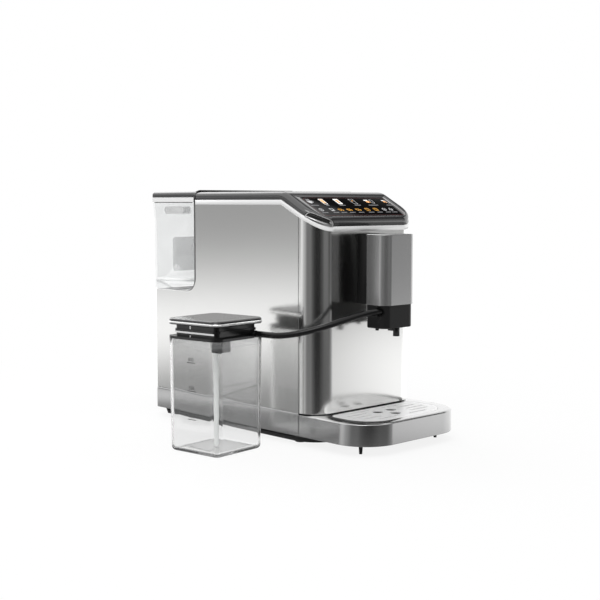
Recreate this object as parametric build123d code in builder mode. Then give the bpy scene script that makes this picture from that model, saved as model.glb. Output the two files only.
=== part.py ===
"""Bean to cup coffee machine with a rear water tank, a side service door and a separate milk jug.

All sizes are millimetres. While a piece is modelled, X = 0 is the machine's centre plane, Y = 0 is the
vertical seam between side panel and front shell, Z = 0 is the table, and the user stands at -Y.
Each finished piece is then moved so that the origin lies under the middle of everything.
"""
from build123d import *
import math
import os

os.makedirs("parts", exist_ok=True)

# Housing
body_width = 196.6
body_rear = 309.0
corner_radius = 31.0
rear_corner_radius = 8.0
shell_wall = 2.5
seam_gap = 0.6
foot_height = 13.0
skirt_height = 29.6
skirt_bevel_height = 2.6
skirt_bevel_depth = 1.2
trim_height = 6.0
trim_wall = 3.2
crown_height = 11.0
crown_radius = 6.0
head_overhang = 2.5
crest_y = 30.0
crest_round = 36.0
display_slope = 28.2
trim_bend_y = 32.6
trim_dip_y = -14.0
trim_dip_drop = 22.7
trim_front_drop = 34.4
cover_inset = 0.6
rear_wrap = 14.0
overrun = 20.0
clearance = 0.3
running_clearance = 0.05

# Water tank at the rear
tank_front = 209.7
liner_thickness = 3.5
liner_lip = 0.8
liner_reach = 34.0
liner_rise = 3.0
liner_round = 9.0
notch_bottom = 189.0
notch_radius = 20.0
tank_wall = 2.4
tank_rear = 307.5
tank_flare = 4.5
tank_flare_height = 49.4
tank_floor_rise = 14.0
tank_floor_thickness = 3.0
tank_corner_radius = 5.0
tank_rim_rise = 2.4
lid_strip_seat = 0.7
lid_strip_height = 6.5
tank_lid_rise = 1.0
tank_lid_rear = 314.8
tank_lid_corner_radius = 6.0
lid_hinge_radius = 3.1
hinge_pin_radius = 1.0
tank_ear_x = 82.0
tank_ear_width = 3.5
tank_pin_length = 12.0
tank_valve_y = 262.0
valve_radius = 10.0
valve_bore = 4.0

# Display, hopper lid and power button on the head
glass_side_margin = 15.8
glass_length = 52.6
glass_thickness = 1.6
glass_front_radius = 12.0
glass_rear_radius = 3.0
glass_crest_margin = 15.5
hopper_lid_width = 120.0
hopper_lid_front = 52.0
hopper_lid_rear = 205.0
hopper_lid_rise = 0.4
hopper_lid_depth = 9.0
hopper_lid_corner = 8.0
hopper_barrel_radius = 5.0
hopper_pin_radius = 1.2
hopper_pin_length = 14.0
button_length = 38.4
button_height = 8.0
button_tilt = 20.6
button_foot_drop = 21.6
button_offset = 2.4
button_bezel_wall = 1.4
button_depth = 6.0
button_travel = 1.5

# Front column, spout and drip tray
spout_width = 60.2
spout_front = -88.9
spout_back = -56.0
spout_corner_radius = 12.0
spout_head_gap = 3.6
spout_cover_bottom = 184.0
spout_wall = 2.0
block_width = 56.8
block_front = -87.0
block_corner_radius = 10.0
block_bottom = 154.0
carriage_width = 40.0
rail_width = 18.0
rail_depth = 8.0
rail_flange_width = 24.0
rail_flange_depth = 3.0
nozzle_radius = 4.4
nozzle_y = -81.2
nozzle_bottom = 143.0
milk_port_radius = 6.5
milk_port_y = -77.5
milk_port_height = 176.0
tray_front = -120.4
tray_corner_radius = 49.0
tray_wall = 2.5
tray_bevel_height = 4.0
tray_bevel_depth = 1.6
grate_half_width = 79.0
grate_rear = -36.5
grate_front = -107.0
grate_rear_radius = 12.0
grate_front_radius = 38.0
grate_thickness = 1.6
slot_length = 36.0
slot_width = 2.6
slot_rear_y = -44.5
slot_pitch = 12.4
slot_middle_shares = (0.8333, 1.3472, 1.4306, 1.2778, 0.8056)
hole_radius = 7.5
side_hole_x = 13.0
side_hole_y = -61.0
front_hole_y = -81.0
tray_pin_radius = 3.0
tray_pin_x = 73.5
tray_pin_y = -87.5

# Milk jug, its lid and the hose
jug_x = -185.0
jug_y = 62.0
jug_turn = 6.5
jug_width = 90.0
jug_height = 144.5
jug_corner_radius = 12.0
jug_wall = 2.2
jug_base = 3.6
jug_foot_width = 86.0
jug_foot_round = 6.0
lid_flange_thickness = 3.2
neck_width = 73.6
neck_height = 14.5
neck_corner_radius = 6.0
neck_ridge_height = 3.2
neck_ridge_reach = 1.6
lid_top_height = 7.7
lid_top_round = 2.8
lid_band_height = 2.6
lid_band_rise = 1.5
lid_band_proud = 0.3
lid_plug_depth = 9.0
lid_plug_wall = 3.0
socket_width = 18.0
socket_depth = 20.0
socket_offset_x = 4.0
socket_offset_y = -4.0
dip_tube_radius = 4.0
dip_tube_bore = 2.6
dip_tube_clearance = 1.4
dip_tube_engagement = 6.0
hose_radius = 4.0
hose_bore_radius = 2.5
nipple_x = 28.8
nipple_height = 149.4
nipple_reach = 7.0
nipple_radius = 4.4
milk_port_depth = 3.0

# Inner frame and works
frame_wall = 3.0
frame_floor_bottom = 16.0
frame_gap = 0.5
service_front = 46.0
service_rear = 174.0
service_bottom = 46.5
service_top = 250.0
bin_top = 104.0
brew_lift = 24.0
chute_gap = 32.0
bowl_neck_height = 23.7
bin_depth = 84.0
bin_wall = 2.0
door_barrel_radius = 3.0
door_pin_radius = 1.2
door_lug_height = 6.0
grinder_y = 122.0
grinder_radius = 38.0
grinder_height = 42.0
burr_radius = 24.0
burr_height = 16.0
burr_teeth = 16
motor_radius = 22.0
motor_height = 58.0
bowl_rim = 2.0
bowl_depth = 46.0
bowl_wall = 2.0
bowl_rear = 160.0
dial_radius = 13.0
dial_height = 7.0
dial_x = -30.0
dial_y = 176.0
brew_x = 58.0
brew_y = 112.0
brew_chamber_radius = 24.0
brew_bore = 19.0
brew_chamber_height = 46.0
piston_height = 10.0
pump_radius = 17.0
pump_length = 78.0
boiler_width = 40.0
boiler_depth = 62.0
boiler_height = 84.0
board_thickness = 1.6

# Places worked out from the sizes above
half_width = body_width / 2
front_face = -corner_radius
head_front = front_face - head_overhang
skirt_top = foot_height + skirt_height
chamber_bottom = bin_top + brew_lift
chamber_top = chamber_bottom + brew_chamber_height
deck_height = chamber_top + chute_gap
deck_top_z = deck_height + frame_wall
grinder_top = deck_top_z + grinder_height
bowl_floor = grinder_top + bowl_neck_height
bowl_top = bowl_floor + bowl_depth
hopper_lid_bottom = bowl_top + clearance
cover_top = hopper_lid_bottom + hopper_lid_depth
trim_top = cover_top - crown_height
roof_height = trim_top - trim_height
spout_top = roof_height - trim_front_drop - spout_head_gap
sky = cover_top + overrun
slope = math.tan(math.radians(display_slope))
cover_front_top = cover_top - slope * (crest_y - head_front)
glass_width = body_width - 2 * glass_side_margin
cover_rear = tank_front - clearance
inner_half = half_width - shell_wall
frame_half = inner_half - frame_gap
frame_floor_top = frame_floor_bottom + frame_wall
tank_shell_front = tank_front + liner_thickness + clearance
tank_floor_height = notch_bottom + tank_floor_rise
tank_top = roof_height + tank_rim_rise
flare_bottom = tank_top - tank_flare_height
lid_strip_bottom = tank_top + lid_strip_seat
tank_lid_top = cover_top + tank_lid_rise
ear_axis_y = tank_shell_front + lid_hinge_radius
ear_axis_z = tank_lid_top - lid_hinge_radius
lid_strip_top = lid_strip_bottom + lid_strip_height
hopper_axis_y = hopper_lid_rear - hopper_barrel_radius
hopper_lid_top = cover_top + hopper_lid_rise
hopper_axis_z = hopper_lid_top - hopper_barrel_radius
door_axis_x = half_width - door_barrel_radius
door_axis_y = service_rear - seam_gap - door_barrel_radius

# Everything is centred on the box round machine and jug
jug_turn_radians = math.radians(jug_turn)
jug_square = jug_width / 2 - jug_corner_radius
jug_reach = jug_square * (math.cos(jug_turn_radians) + math.sin(jug_turn_radians)) + jug_corner_radius
plan_shift_x = -(jug_x - jug_reach + half_width) / 2
plan_shift_y = -(tray_front + tank_lid_rear) / 2


def keep(piece, name):
    """Label a finished piece, move it to the part's own origin and write it."""
    placed = piece.part.moved(Location((plan_shift_x, plan_shift_y, 0)))
    placed.label = name
    export_step(placed, f"parts/{name}.step")


def rounded_plan(half, front, rear, front_radius, rear_radius):
    """Plan outline with its own corner radius in front and behind."""
    with BuildSketch() as plan:
        with Locations((0, (front + rear) / 2)):
            Rectangle(2 * half, rear - front)
        fillet(plan.vertices().group_by(Axis.Y)[0], front_radius)
        fillet(plan.vertices().group_by(Axis.Y)[-1], rear_radius)
    return plan.sketch


def housing_plan(inset):
    """Outline of the housing seen from above, drawn in by inset."""
    return rounded_plan(
        half_width - inset,
        front_face + inset,
        body_rear - inset,
        corner_radius - inset,
        rear_corner_radius - inset,
    )


def head_plan(inset):
    """Outline of the head, which overhangs the housing in front, drawn in by inset."""
    return rounded_plan(
        half_width - inset,
        head_front + inset,
        body_rear - inset,
        corner_radius - inset,
        rear_corner_radius - inset,
    )


def tray_plan(inset):
    """Outline of the drip tray and the base it slides from, drawn in by inset."""
    return rounded_plan(
        half_width - inset,
        tray_front + inset,
        body_rear - inset,
        tray_corner_radius - inset,
        rear_corner_radius - inset,
    )


def keep_between(low, high):
    """Inside an open plan sketch, keep only what lies between two Y values."""
    with Locations((0, (low + high) / 2)):
        Rectangle(body_width + overrun, high - low, mode=Mode.INTERSECT)


def roof_points(rise):
    """Side view of the line under the bright trim, from rear to front, lifted by rise."""
    return [
        (body_rear + overrun, roof_height + rise),
        (trim_bend_y, roof_height + rise),
        (trim_dip_y, roof_height - trim_dip_drop + rise),
        (head_front, roof_height - trim_front_drop + rise),
        (head_front - overrun, roof_height - trim_front_drop + rise),
    ]


def side_face(*points):
    """Closed face through points given in side view."""
    with BuildSketch() as face:
        with BuildLine():
            Polyline(*points, close=True)
        make_face()
    return face.sketch


def above_roof(rise):
    """Side view of all that lies above the trim line."""
    return side_face(*roof_points(rise), (head_front - overrun, sky), (body_rear + overrun, sky))


def below_roof(rise):
    """Side view of all that lies below the trim line."""
    return side_face(*roof_points(rise), (head_front - overrun, 0), (body_rear + overrun, 0))


def tank_notch(back, up, radius):
    """Side view of the room for the tank, its front moved back and its floor up."""
    front = tank_front + back
    floor = notch_bottom + up
    with BuildSketch() as notch:
        with Locations((front, floor)):
            Rectangle(
                body_rear + overrun - front, sky - floor, align=(Align.MIN, Align.MIN)
            )
        fillet(notch.vertices().group_by(Axis.X)[0].sort_by(Axis.Y)[0], radius)
    return notch.sketch


def cut_through(face):
    """Cut a side-view face right through the open part, across its width."""
    with BuildSketch(Plane.YZ) as side:
        add(face)
    extrude(side.sketch, amount=half_width + overrun, both=True, mode=Mode.SUBTRACT)


# Base

plinth_inset = 9.0
plinth_front = -24.0
plinth_front_radius = 44.0
plinth_bottom = 2.5
plinth_taper = 18.0
foot_radius = 9.0
foot_pad_depth = 3.0
foot_front_y = 20.0
foot_rear_y = 282.0
foot_x = 74.0

with BuildPart() as base_plinth:
    with BuildSketch(Plane.XY.offset(foot_height - clearance)):
        add(
            rounded_plan(
                half_width - plinth_inset,
                plinth_front,
                body_rear - plinth_inset,
                plinth_front_radius,
                rear_corner_radius,
            )
        )
    extrude(amount=-(foot_height - clearance - plinth_bottom), taper=plinth_taper)
    with BuildSketch(Plane.XY.offset(plinth_bottom)):
        with Locations(
            (-foot_x, foot_front_y), (foot_x, foot_front_y), (-foot_x, foot_rear_y), (foot_x, foot_rear_y)
        ):
            Circle(foot_radius)
    extrude(amount=foot_pad_depth, mode=Mode.SUBTRACT)
keep(base_plinth, "base_plinth")

with BuildPart() as rubber_feet:
    with BuildSketch():
        with Locations(
            (-foot_x, foot_front_y), (foot_x, foot_front_y), (-foot_x, foot_rear_y), (foot_x, foot_rear_y)
        ):
            Circle(foot_radius - clearance)
    extrude(amount=plinth_bottom + foot_pad_depth)
    chamfer(rubber_feet.edges().group_by(Axis.Z)[0], shell_wall / 2)
keep(rubber_feet, "rubber_feet")

with BuildPart() as base_skirt:
    with BuildSketch(Plane.XY.offset(foot_height)):
        add(housing_plan(0))
        add(housing_plan(shell_wall), mode=Mode.SUBTRACT)
        keep_between(seam_gap / 2, body_rear)
    extrude(amount=skirt_height)
    skirt_outer = base_skirt.faces().filter_by(Axis.Z).sort_by(Axis.Z)[-1].outer_wire().edges()
    rim_edges = skirt_outer.filter_by(
        lambda e: abs(e.center().X) > inner_half or e.center().Y > body_rear - shell_wall
    )
    chamfer(rim_edges, skirt_bevel_height, skirt_bevel_depth)
    with BuildSketch(Plane.XY.offset(foot_height)):
        add(housing_plan(shell_wall / 2))
        add(
            rounded_plan(
                half_width - plinth_inset - shell_wall,
                front_face,
                body_rear - plinth_inset - shell_wall,
                corner_radius / 2,
                rear_corner_radius / 2,
            ),
            mode=Mode.SUBTRACT,
        )
        keep_between(seam_gap / 2, body_rear)
    extrude(amount=shell_wall)
keep(base_skirt, "base_skirt")

# Side panels, front shell and rear panel

panel_bottom = skirt_top + seam_gap


def side_panel(side):
    """Flat panel that wraps the rear corner and leaves the notch for the tank."""
    with BuildPart() as panel:
        with BuildSketch(Plane.XY.offset(panel_bottom)):
            add(housing_plan(0))
            add(housing_plan(shell_wall), mode=Mode.SUBTRACT)
            keep_between(seam_gap / 2, body_rear)
            with Locations((side * (half_width - rear_wrap / 2), 0)):
                Rectangle(rear_wrap, 2 * body_rear, mode=Mode.INTERSECT)
        extrude(amount=sky - panel_bottom)
        cut_through(above_roof(0))
        cut_through(tank_notch(0, 0, notch_radius))
    return panel


side_panel_left = side_panel(-1)
keep(side_panel_left, "side_panel_left")

service_middle = (service_front + service_rear) / 2
service_width = service_rear - service_front

with BuildPart() as side_panel_right:
    add(side_panel(1).part)
    with BuildSketch(Plane.YZ):
        with Locations((service_middle, (service_bottom + service_top) / 2)):
            Rectangle(service_width, service_top - service_bottom)
    extrude(amount=half_width + overrun, mode=Mode.SUBTRACT)
keep(side_panel_right, "side_panel_right")

with BuildPart() as front_shell:
    with BuildSketch(Plane.XY.offset(panel_bottom)):
        add(housing_plan(0))
        add(housing_plan(shell_wall), mode=Mode.SUBTRACT)
        keep_between(front_face, -seam_gap / 2)
    extrude(amount=sky - panel_bottom)
    cut_through(above_roof(0))
keep(front_shell, "front_shell")

rear_panel_half = half_width - rear_wrap - seam_gap
rear_panel_top = notch_bottom - shell_wall
vent_length = 44.0
vent_width = 3.0
vent_pitch = 7.0
vent_count = 7
vent_height = 120.0
inlet_width = 30.0
inlet_height = 24.0
inlet_x = 52.0
inlet_z = 72.0
screw_radius = 3.2
screw_inset = 8.0

with BuildPart() as rear_panel:
    with BuildSketch(Plane.XZ.offset(-body_rear)):
        with Locations((0, (panel_bottom + rear_panel_top) / 2)):
            Rectangle(2 * rear_panel_half, rear_panel_top - panel_bottom)
        with Locations((-inlet_x, vent_height)):
            with GridLocations(0, vent_pitch, 1, vent_count):
                SlotOverall(vent_length, vent_width, mode=Mode.SUBTRACT)
        with Locations((inlet_x, inlet_z)):
            Rectangle(inlet_width, inlet_height, mode=Mode.SUBTRACT)
    extrude(amount=shell_wall)
keep(rear_panel, "rear_panel")

screw_columns = 2 * (rear_panel_half - screw_inset)
screw_rows = rear_panel_top - panel_bottom - 2 * screw_inset

with BuildPart() as housing_screws:
    with BuildSketch(Plane.XZ.offset(-body_rear)):
        with Locations((0, (panel_bottom + rear_panel_top) / 2)):
            with GridLocations(screw_columns, screw_rows / 2, 2, 3):
                Circle(screw_radius)
                RegularPolygon(screw_radius / 2, 6, mode=Mode.SUBTRACT)
    extrude(amount=-shell_wall / 2)
keep(housing_screws, "housing_screws")

# The bright trim and the dark cover of the head

with BuildPart() as trim_strip:
    with BuildSketch():
        add(head_plan(0))
        add(head_plan(trim_wall), mode=Mode.SUBTRACT)
        keep_between(head_front, cover_rear)
    extrude(amount=sky)
    cut_through(above_roof(trim_height))
    cut_through(below_roof(0))
keep(trim_strip, "trim_strip")


def head_form(inset):
    """Solid outer form of the head above the trim, drawn in all round by inset."""
    side_inset = cover_inset + inset
    with BuildSketch() as profile:
        with BuildLine():
            Polyline(
                (cover_rear, cover_top - inset),
                (crest_y, cover_top - inset),
                (head_front, cover_front_top - inset),
                (head_front - overrun, cover_front_top - slope * overrun - inset),
                (head_front - overrun, 0),
                (cover_rear, 0),
                close=True,
            )
        make_face()
        crest = profile.vertices().filter_by(
            lambda v: abs(v.X - crest_y) < clearance and v.Y > roof_height
        )
        fillet(crest, crest_round)
    with BuildPart() as form:
        with BuildSketch():
            add(head_plan(side_inset))
            keep_between(head_front, cover_rear)
        extrude(amount=sky)
        with BuildSketch(Plane.YZ):
            add(profile.sketch)
        extrude(amount=half_width, both=True, mode=Mode.INTERSECT)
        top_edges = form.faces().filter_by(lambda f: f.normal_at().Z > 0.5).edges()
        rim = top_edges.filter_by(
            lambda e: abs(e.center().X) > shell_wall or e.center().Y < head_front + crown_radius
        )
        fillet(rim, crown_radius - inset)
        cut_through(below_roof(trim_height))
    return form


glass_tilt = Vector(0, -math.sin(math.radians(display_slope)), math.cos(math.radians(display_slope)))
glass_up = Vector(0, glass_tilt.Z, -glass_tilt.Y)
glass_centre = Vector(0, crest_y, cover_top) - glass_up * (glass_crest_margin + glass_length / 2)
glass_plane = Plane(origin=glass_centre, x_dir=(1, 0, 0), z_dir=glass_tilt)


def glass_outline(inset):
    """Outline of the display glass with large lower corners."""
    return rounded_plan(
        glass_width / 2 - inset,
        -glass_length / 2 + inset,
        glass_length / 2 - inset,
        glass_front_radius - inset,
        glass_rear_radius - inset,
    )


button_axis = Vector(-1, -1, 0).normalized()
button_across = Vector(-button_axis.Y, button_axis.X, 0)
button_rise = math.radians(button_tilt)
corner_centre = Vector(corner_radius - half_width, head_front + corner_radius, 0)
button_foot = corner_centre + button_axis * (corner_radius - button_depth) + button_across * button_offset
button_plane = Plane(
    origin=(button_foot.X, button_foot.Y, roof_height - button_foot_drop),
    x_dir=button_across * math.cos(button_rise) - Vector(0, 0, math.sin(button_rise)),
    z_dir=button_axis,
)
bezel_plane = button_plane.offset(-button_travel - clearance - button_bezel_wall)
pocket_plane = button_plane.offset(-button_travel - clearance)

lid_opening_half = hopper_lid_width / 2 + clearance
lid_opening_front = hopper_lid_front - clearance
lid_opening_rear = hopper_lid_rear + clearance

with BuildPart() as top_cover:
    add(head_form(0).part)
    add(head_form(shell_wall).part, mode=Mode.SUBTRACT)
    with BuildSketch(Plane.XY.offset(trim_top)):
        add(
            rounded_plan(
                lid_opening_half, lid_opening_front, lid_opening_rear, hopper_lid_corner, clearance
            )
        )
    extrude(amount=crown_height + overrun, mode=Mode.SUBTRACT)
    with BuildSketch(glass_plane):
        add(glass_outline(0))
    extrude(amount=-glass_thickness, mode=Mode.SUBTRACT)
    with BuildSketch(bezel_plane):
        SlotOverall(button_length, 2 * button_height)
    extrude(amount=2 * button_depth, mode=Mode.SUBTRACT)
keep(top_cover, "top_cover")

with BuildPart() as display_glass:
    with BuildSketch(glass_plane.offset(-glass_thickness)):
        add(glass_outline(running_clearance))
    extrude(amount=glass_thickness)
keep(display_glass, "display_glass")

standoff_height = 3.0
standoff_radius = 3.0
board_margin = 14.0

with BuildPart() as display_board:
    with BuildSketch(glass_plane.offset(-shell_wall - standoff_height - board_thickness)):
        Rectangle(glass_width - board_margin, glass_length - board_margin)
    extrude(amount=board_thickness)
    with BuildSketch(glass_plane.offset(-shell_wall - standoff_height)):
        with GridLocations(glass_width - 2 * board_margin, glass_length - 2 * board_margin, 2, 2):
            Circle(standoff_radius)
    extrude(amount=standoff_height - clearance / 2)
keep(display_board, "display_board")

# Power button in the head's left corner


def corner_skin(proud, depth):
    """Wall that follows the head's corner, used to give the button its curved face."""
    with BuildPart() as skin:
        with BuildSketch():
            with Locations((corner_centre.X, corner_centre.Y)):
                Circle(corner_radius + proud)
                Circle(corner_radius - depth, mode=Mode.SUBTRACT)
        extrude(amount=sky)
    return skin


bezel_proud = 0.6
button_sink = 1.2
button_foot_gap = 0.7


def button_arch(inset, foot):
    """Arched outline of the power button, drawn in by inset, its straight lower edge lifted by foot."""
    with BuildSketch() as arch:
        SlotOverall(button_length - 2 * inset, 2 * (button_height - inset))
        with Locations((0, foot)):
            Rectangle(button_length, button_height, align=(Align.CENTER, Align.MIN), mode=Mode.INTERSECT)
    return arch.sketch


with BuildPart() as button_bezel:
    add(corner_skin(bezel_proud, 2 * button_depth).part)
    with BuildSketch(bezel_plane):
        SlotOverall(button_length - running_clearance, 2 * button_height - running_clearance)
    extrude(amount=2 * button_depth + overrun, mode=Mode.INTERSECT)
    cut_through(below_roof(trim_height))
    with BuildSketch(pocket_plane):
        add(button_arch(button_bezel_wall, button_bezel_wall))
    extrude(amount=2 * button_depth, mode=Mode.SUBTRACT)
keep(button_bezel, "button_bezel")

with BuildPart() as power_button:
    add(corner_skin(-button_sink, shell_wall * 2).part)
    with BuildSketch(button_plane):
        add(button_arch(button_bezel_wall + 2 * running_clearance, button_bezel_wall + button_foot_gap))
    extrude(amount=button_depth + overrun, mode=Mode.INTERSECT)
keep(power_button, "power_button")

# Hopper lid with its hinge

with BuildPart() as hopper_lid:
    with BuildSketch(Plane.YZ):
        with Locations((hopper_lid_front, hopper_lid_bottom)):
            Rectangle(
                hopper_axis_y - hopper_lid_front,
                hopper_lid_top - hopper_lid_bottom,
                align=(Align.MIN, Align.MIN),
            )
        with Locations((hopper_axis_y, hopper_axis_z)):
            Circle(hopper_barrel_radius)
        with Locations((hopper_lid_front, hopper_lid_bottom)):
            Rectangle(
                hopper_lid_rear - hopper_lid_front,
                hopper_lid_top - hopper_lid_bottom,
                align=(Align.MIN, Align.MIN),
                mode=Mode.INTERSECT,
            )
    extrude(amount=hopper_lid_width / 2, both=True)
    fillet(hopper_lid.edges().filter_by(Axis.Z).group_by(Axis.Y)[0], hopper_lid_corner)
    with BuildSketch(Plane.XY.offset(hopper_lid_bottom)):
        add(
            rounded_plan(
                hopper_lid_width / 2 - shell_wall,
                hopper_lid_front + shell_wall,
                hopper_axis_y - hopper_barrel_radius,
                hopper_lid_corner - shell_wall,
                shell_wall,
            )
        )
    extrude(amount=hopper_lid_top - shell_wall - hopper_lid_bottom, mode=Mode.SUBTRACT)
    with BuildSketch(Plane.YZ):
        with Locations((hopper_axis_y, hopper_axis_z)):
            Circle(hopper_pin_radius + running_clearance)
    extrude(amount=hopper_lid_width / 2, both=True, mode=Mode.SUBTRACT)
keep(hopper_lid, "hopper_lid")

hinge_block_width = 5.0
hinge_block_drop = 4.0
cover_underside = cover_top - shell_wall

with BuildPart() as hopper_hinge:
    with BuildSketch(Plane.YZ.offset(lid_opening_half + clearance)):
        with Locations((hopper_axis_y, cover_underside)):
            Rectangle(
                hinge_block_drop * 2,
                cover_underside - hopper_axis_z + hinge_block_drop,
                align=(Align.CENTER, Align.MAX),
            )
    extrude(amount=hinge_block_width)
    with BuildSketch(Plane.YZ.offset(lid_opening_half + hinge_block_width)):
        with Locations((hopper_axis_y, hopper_axis_z)):
            Circle(hopper_pin_radius)
    extrude(amount=-hopper_pin_length)
    mirror(about=Plane.YZ)
keep(hopper_hinge, "hopper_hinge")

# Liner behind the head, the dock for the tank and the tank

liner_half = half_width - clearance

with BuildPart() as tank_liner:
    with BuildSketch(Plane.YZ):
        add(tank_notch(0, 0, notch_radius))
        add(tank_notch(liner_thickness, liner_lip, notch_radius - liner_thickness), mode=Mode.SUBTRACT)
        with Locations((tank_front, notch_bottom)):
            Rectangle(
                liner_reach,
                cover_top + liner_rise - notch_bottom,
                align=(Align.MIN, Align.MIN),
                mode=Mode.INTERSECT,
            )
    extrude(amount=liner_half, both=True)
    liner_top = tank_liner.edges().filter_by(Axis.Y).group_by(Axis.Z)[-1]
    fillet(liner_top, liner_round)
keep(tank_liner, "tank_liner")

dock_thickness = 5.0
dock_ring_radius = 15.0
dock_top = notch_bottom - clearance / 2

with BuildPart() as tank_dock:
    with BuildSketch(Plane.XY.offset(dock_top - dock_thickness)):
        with Locations((0, (tank_front + body_rear - shell_wall) / 2)):
            dock_plate = Rectangle(2 * (inner_half - clearance), body_rear - shell_wall - tank_front)
        fillet(dock_plate.vertices().group_by(Axis.Y)[-1], rear_corner_radius - shell_wall)
    extrude(amount=dock_thickness)
    with BuildSketch(Plane.XY.offset(dock_top)):
        with Locations((0, tank_valve_y)):
            Circle(dock_ring_radius)
            Circle(valve_radius + clearance, mode=Mode.SUBTRACT)
    extrude(amount=dock_thickness)
    with Locations((0, tank_valve_y, dock_top)):
        Hole(valve_bore)
keep(tank_dock, "tank_dock")

with BuildPart() as dock_seal:
    with BuildSketch(Plane.XY.offset(dock_top)):
        with Locations((0, tank_valve_y)):
            Circle(valve_radius)
            Circle(valve_bore + clearance, mode=Mode.SUBTRACT)
    extrude(amount=shell_wall / 2)
keep(dock_seal, "dock_seal")

tank_half = half_width - clearance
tank_bottom = notch_bottom + liner_lip + clearance
tank_bottom_radius = notch_radius - liner_thickness - clearance
tank_front_in = tank_shell_front + tank_wall


def tank_profile(inset, low, high):
    """Side view of the tank: straight front, rounded lower edge, rear wall that flares out at the top."""
    front = tank_shell_front + inset
    rear = tank_rear - inset
    corners = [(rear, flare_bottom), (rear, low), (front, low), (front, high), (rear + tank_flare, high)]
    if high > tank_top:
        corners.append((rear + tank_flare, tank_top))
    with BuildSketch() as profile:
        with BuildLine():
            Polyline(*corners)
            TangentArc((rear, flare_bottom), (rear + tank_flare, tank_top), tangent=(0, 1))
        make_face()
        fillet(
            profile.vertices().group_by(Axis.X)[0].sort_by(Axis.Y)[0],
            tank_bottom_radius - inset,
        )
    return profile.sketch


def tank_form(inset, low, high):
    """Solid between the side walls of the tank, with rounded rear corners."""
    with BuildPart() as form:
        with BuildSketch(Plane.YZ) as side:
            add(tank_profile(inset, low, high))
        extrude(side.sketch, amount=tank_half - inset, both=True)
        upright = form.edges().filter_by(
            lambda e: abs(e.center().X) > tank_half - inset - clearance
            and e.center().Y > tank_rear - inset - clearance
        )
        fillet(upright, tank_corner_radius - inset)
    return form


grip_length = 46.0
grip_height = 11.0
grip_y = 258.0
grip_drop = 10.9
grip_depth = 13.0
grip_wall = 1.5
plate_width = 126.0
plate_rise = 10.0
plate_height = 51.0
plate_corner = 5.0
plate_depth = 1.2
grip_z = tank_top - grip_drop
plate_bottom = tank_floor_height + plate_rise

with BuildPart() as tank_shell:
    add(tank_form(0, tank_bottom, tank_top).part)
    add(
        tank_form(tank_wall, tank_floor_height + tank_floor_thickness, tank_top + overrun).part,
        mode=Mode.SUBTRACT,
    )
    skirt_low = tank_bottom + tank_wall
    with BuildSketch(Plane.YZ):
        with Locations((tank_front_in, skirt_low)):
            Rectangle(
                tank_rear - tank_wall - tank_front_in,
                tank_floor_height - skirt_low,
                align=(Align.MIN, Align.MIN),
            )
    extrude(amount=tank_half - tank_wall, both=True, mode=Mode.SUBTRACT)
    with BuildSketch(Plane.YZ):
        with Locations((tank_shell_front + tank_bottom_radius, skirt_low)):
            Rectangle(
                tank_rear - tank_wall - tank_shell_front - tank_bottom_radius,
                2 * tank_wall,
                align=(Align.MIN, Align.MAX),
            )
    extrude(amount=tank_half - tank_wall, both=True, mode=Mode.SUBTRACT)
    with Locations((0, tank_valve_y, tank_floor_height + tank_floor_thickness)):
        Hole(valve_radius - tank_wall + running_clearance)
    with BuildSketch(Plane.YZ):
        with Locations((grip_y, grip_z)):
            SlotOverall(grip_length, grip_height)
    extrude(amount=half_width, both=True, mode=Mode.SUBTRACT)
    with BuildSketch(Plane.XZ.offset(-tank_rear)):
        with Locations((0, plate_bottom + plate_height / 2)):
            RectangleRounded(plate_width, plate_height, plate_corner)
    extrude(amount=plate_depth, mode=Mode.SUBTRACT)
    for ear_side in (-1, 1):
        with BuildSketch(Plane.YZ.offset(ear_side * tank_ear_x - tank_ear_width / 2)):
            with Locations((ear_axis_y, ear_axis_z)):
                Circle(lid_hinge_radius - clearance)
                Rectangle(
                    2 * (lid_hinge_radius - clearance),
                    ear_axis_z - tank_top + tank_wall,
                    align=(Align.CENTER, Align.MAX),
                )
        extrude(amount=tank_ear_width)
    with BuildSketch(Plane.YZ):
        with Locations((ear_axis_y, ear_axis_z)):
            Circle(hinge_pin_radius)
    extrude(amount=tank_half, both=True, mode=Mode.SUBTRACT)
keep(tank_shell, "tank_shell")

with BuildPart() as tank_valve:
    with BuildSketch(Plane.XY.offset(dock_top + shell_wall / 2 + clearance)):
        with Locations((0, tank_valve_y)):
            Circle(valve_radius)
    extrude(amount=tank_floor_height - dock_top - shell_wall / 2 - clearance)
    with BuildSketch(Plane.XY.offset(tank_floor_height)):
        with Locations((0, tank_valve_y)):
            Circle(valve_radius - tank_wall)
    extrude(amount=tank_floor_thickness)
    with BuildSketch(Plane.XY.offset(tank_floor_height + tank_floor_thickness)):
        with Locations((0, tank_valve_y)):
            Circle(valve_radius + tank_wall)
    extrude(amount=tank_wall)
    with Locations((0, tank_valve_y, tank_floor_height + tank_floor_thickness + tank_wall)):
        Hole(valve_bore)
keep(tank_valve, "tank_valve")

with BuildPart() as tank_grips:
    for grip_side in (-1, 1):
        with BuildSketch(Plane.YZ.offset(grip_side * tank_half)):
            with Locations((grip_y, grip_z)):
                SlotOverall(grip_length, grip_height)
        extrude(amount=-grip_side * grip_depth)
        with BuildSketch(Plane.YZ.offset(grip_side * tank_half)):
            with Locations((grip_y, grip_z)):
                SlotOverall(grip_length - 2 * grip_wall, grip_height - 2 * grip_wall)
        extrude(amount=-grip_side * (grip_depth - grip_wall), mode=Mode.SUBTRACT)
    with BuildSketch(Plane.XZ.offset(-tank_rear)):
        with Locations((0, plate_bottom + plate_height / 2)):
            RectangleRounded(
                plate_width - 2 * running_clearance, plate_height - 2 * running_clearance, plate_corner
            )
    extrude(amount=plate_depth)
keep(tank_grips, "tank_grips")

# Tank lid, hinged on two ears at its front edge

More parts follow.
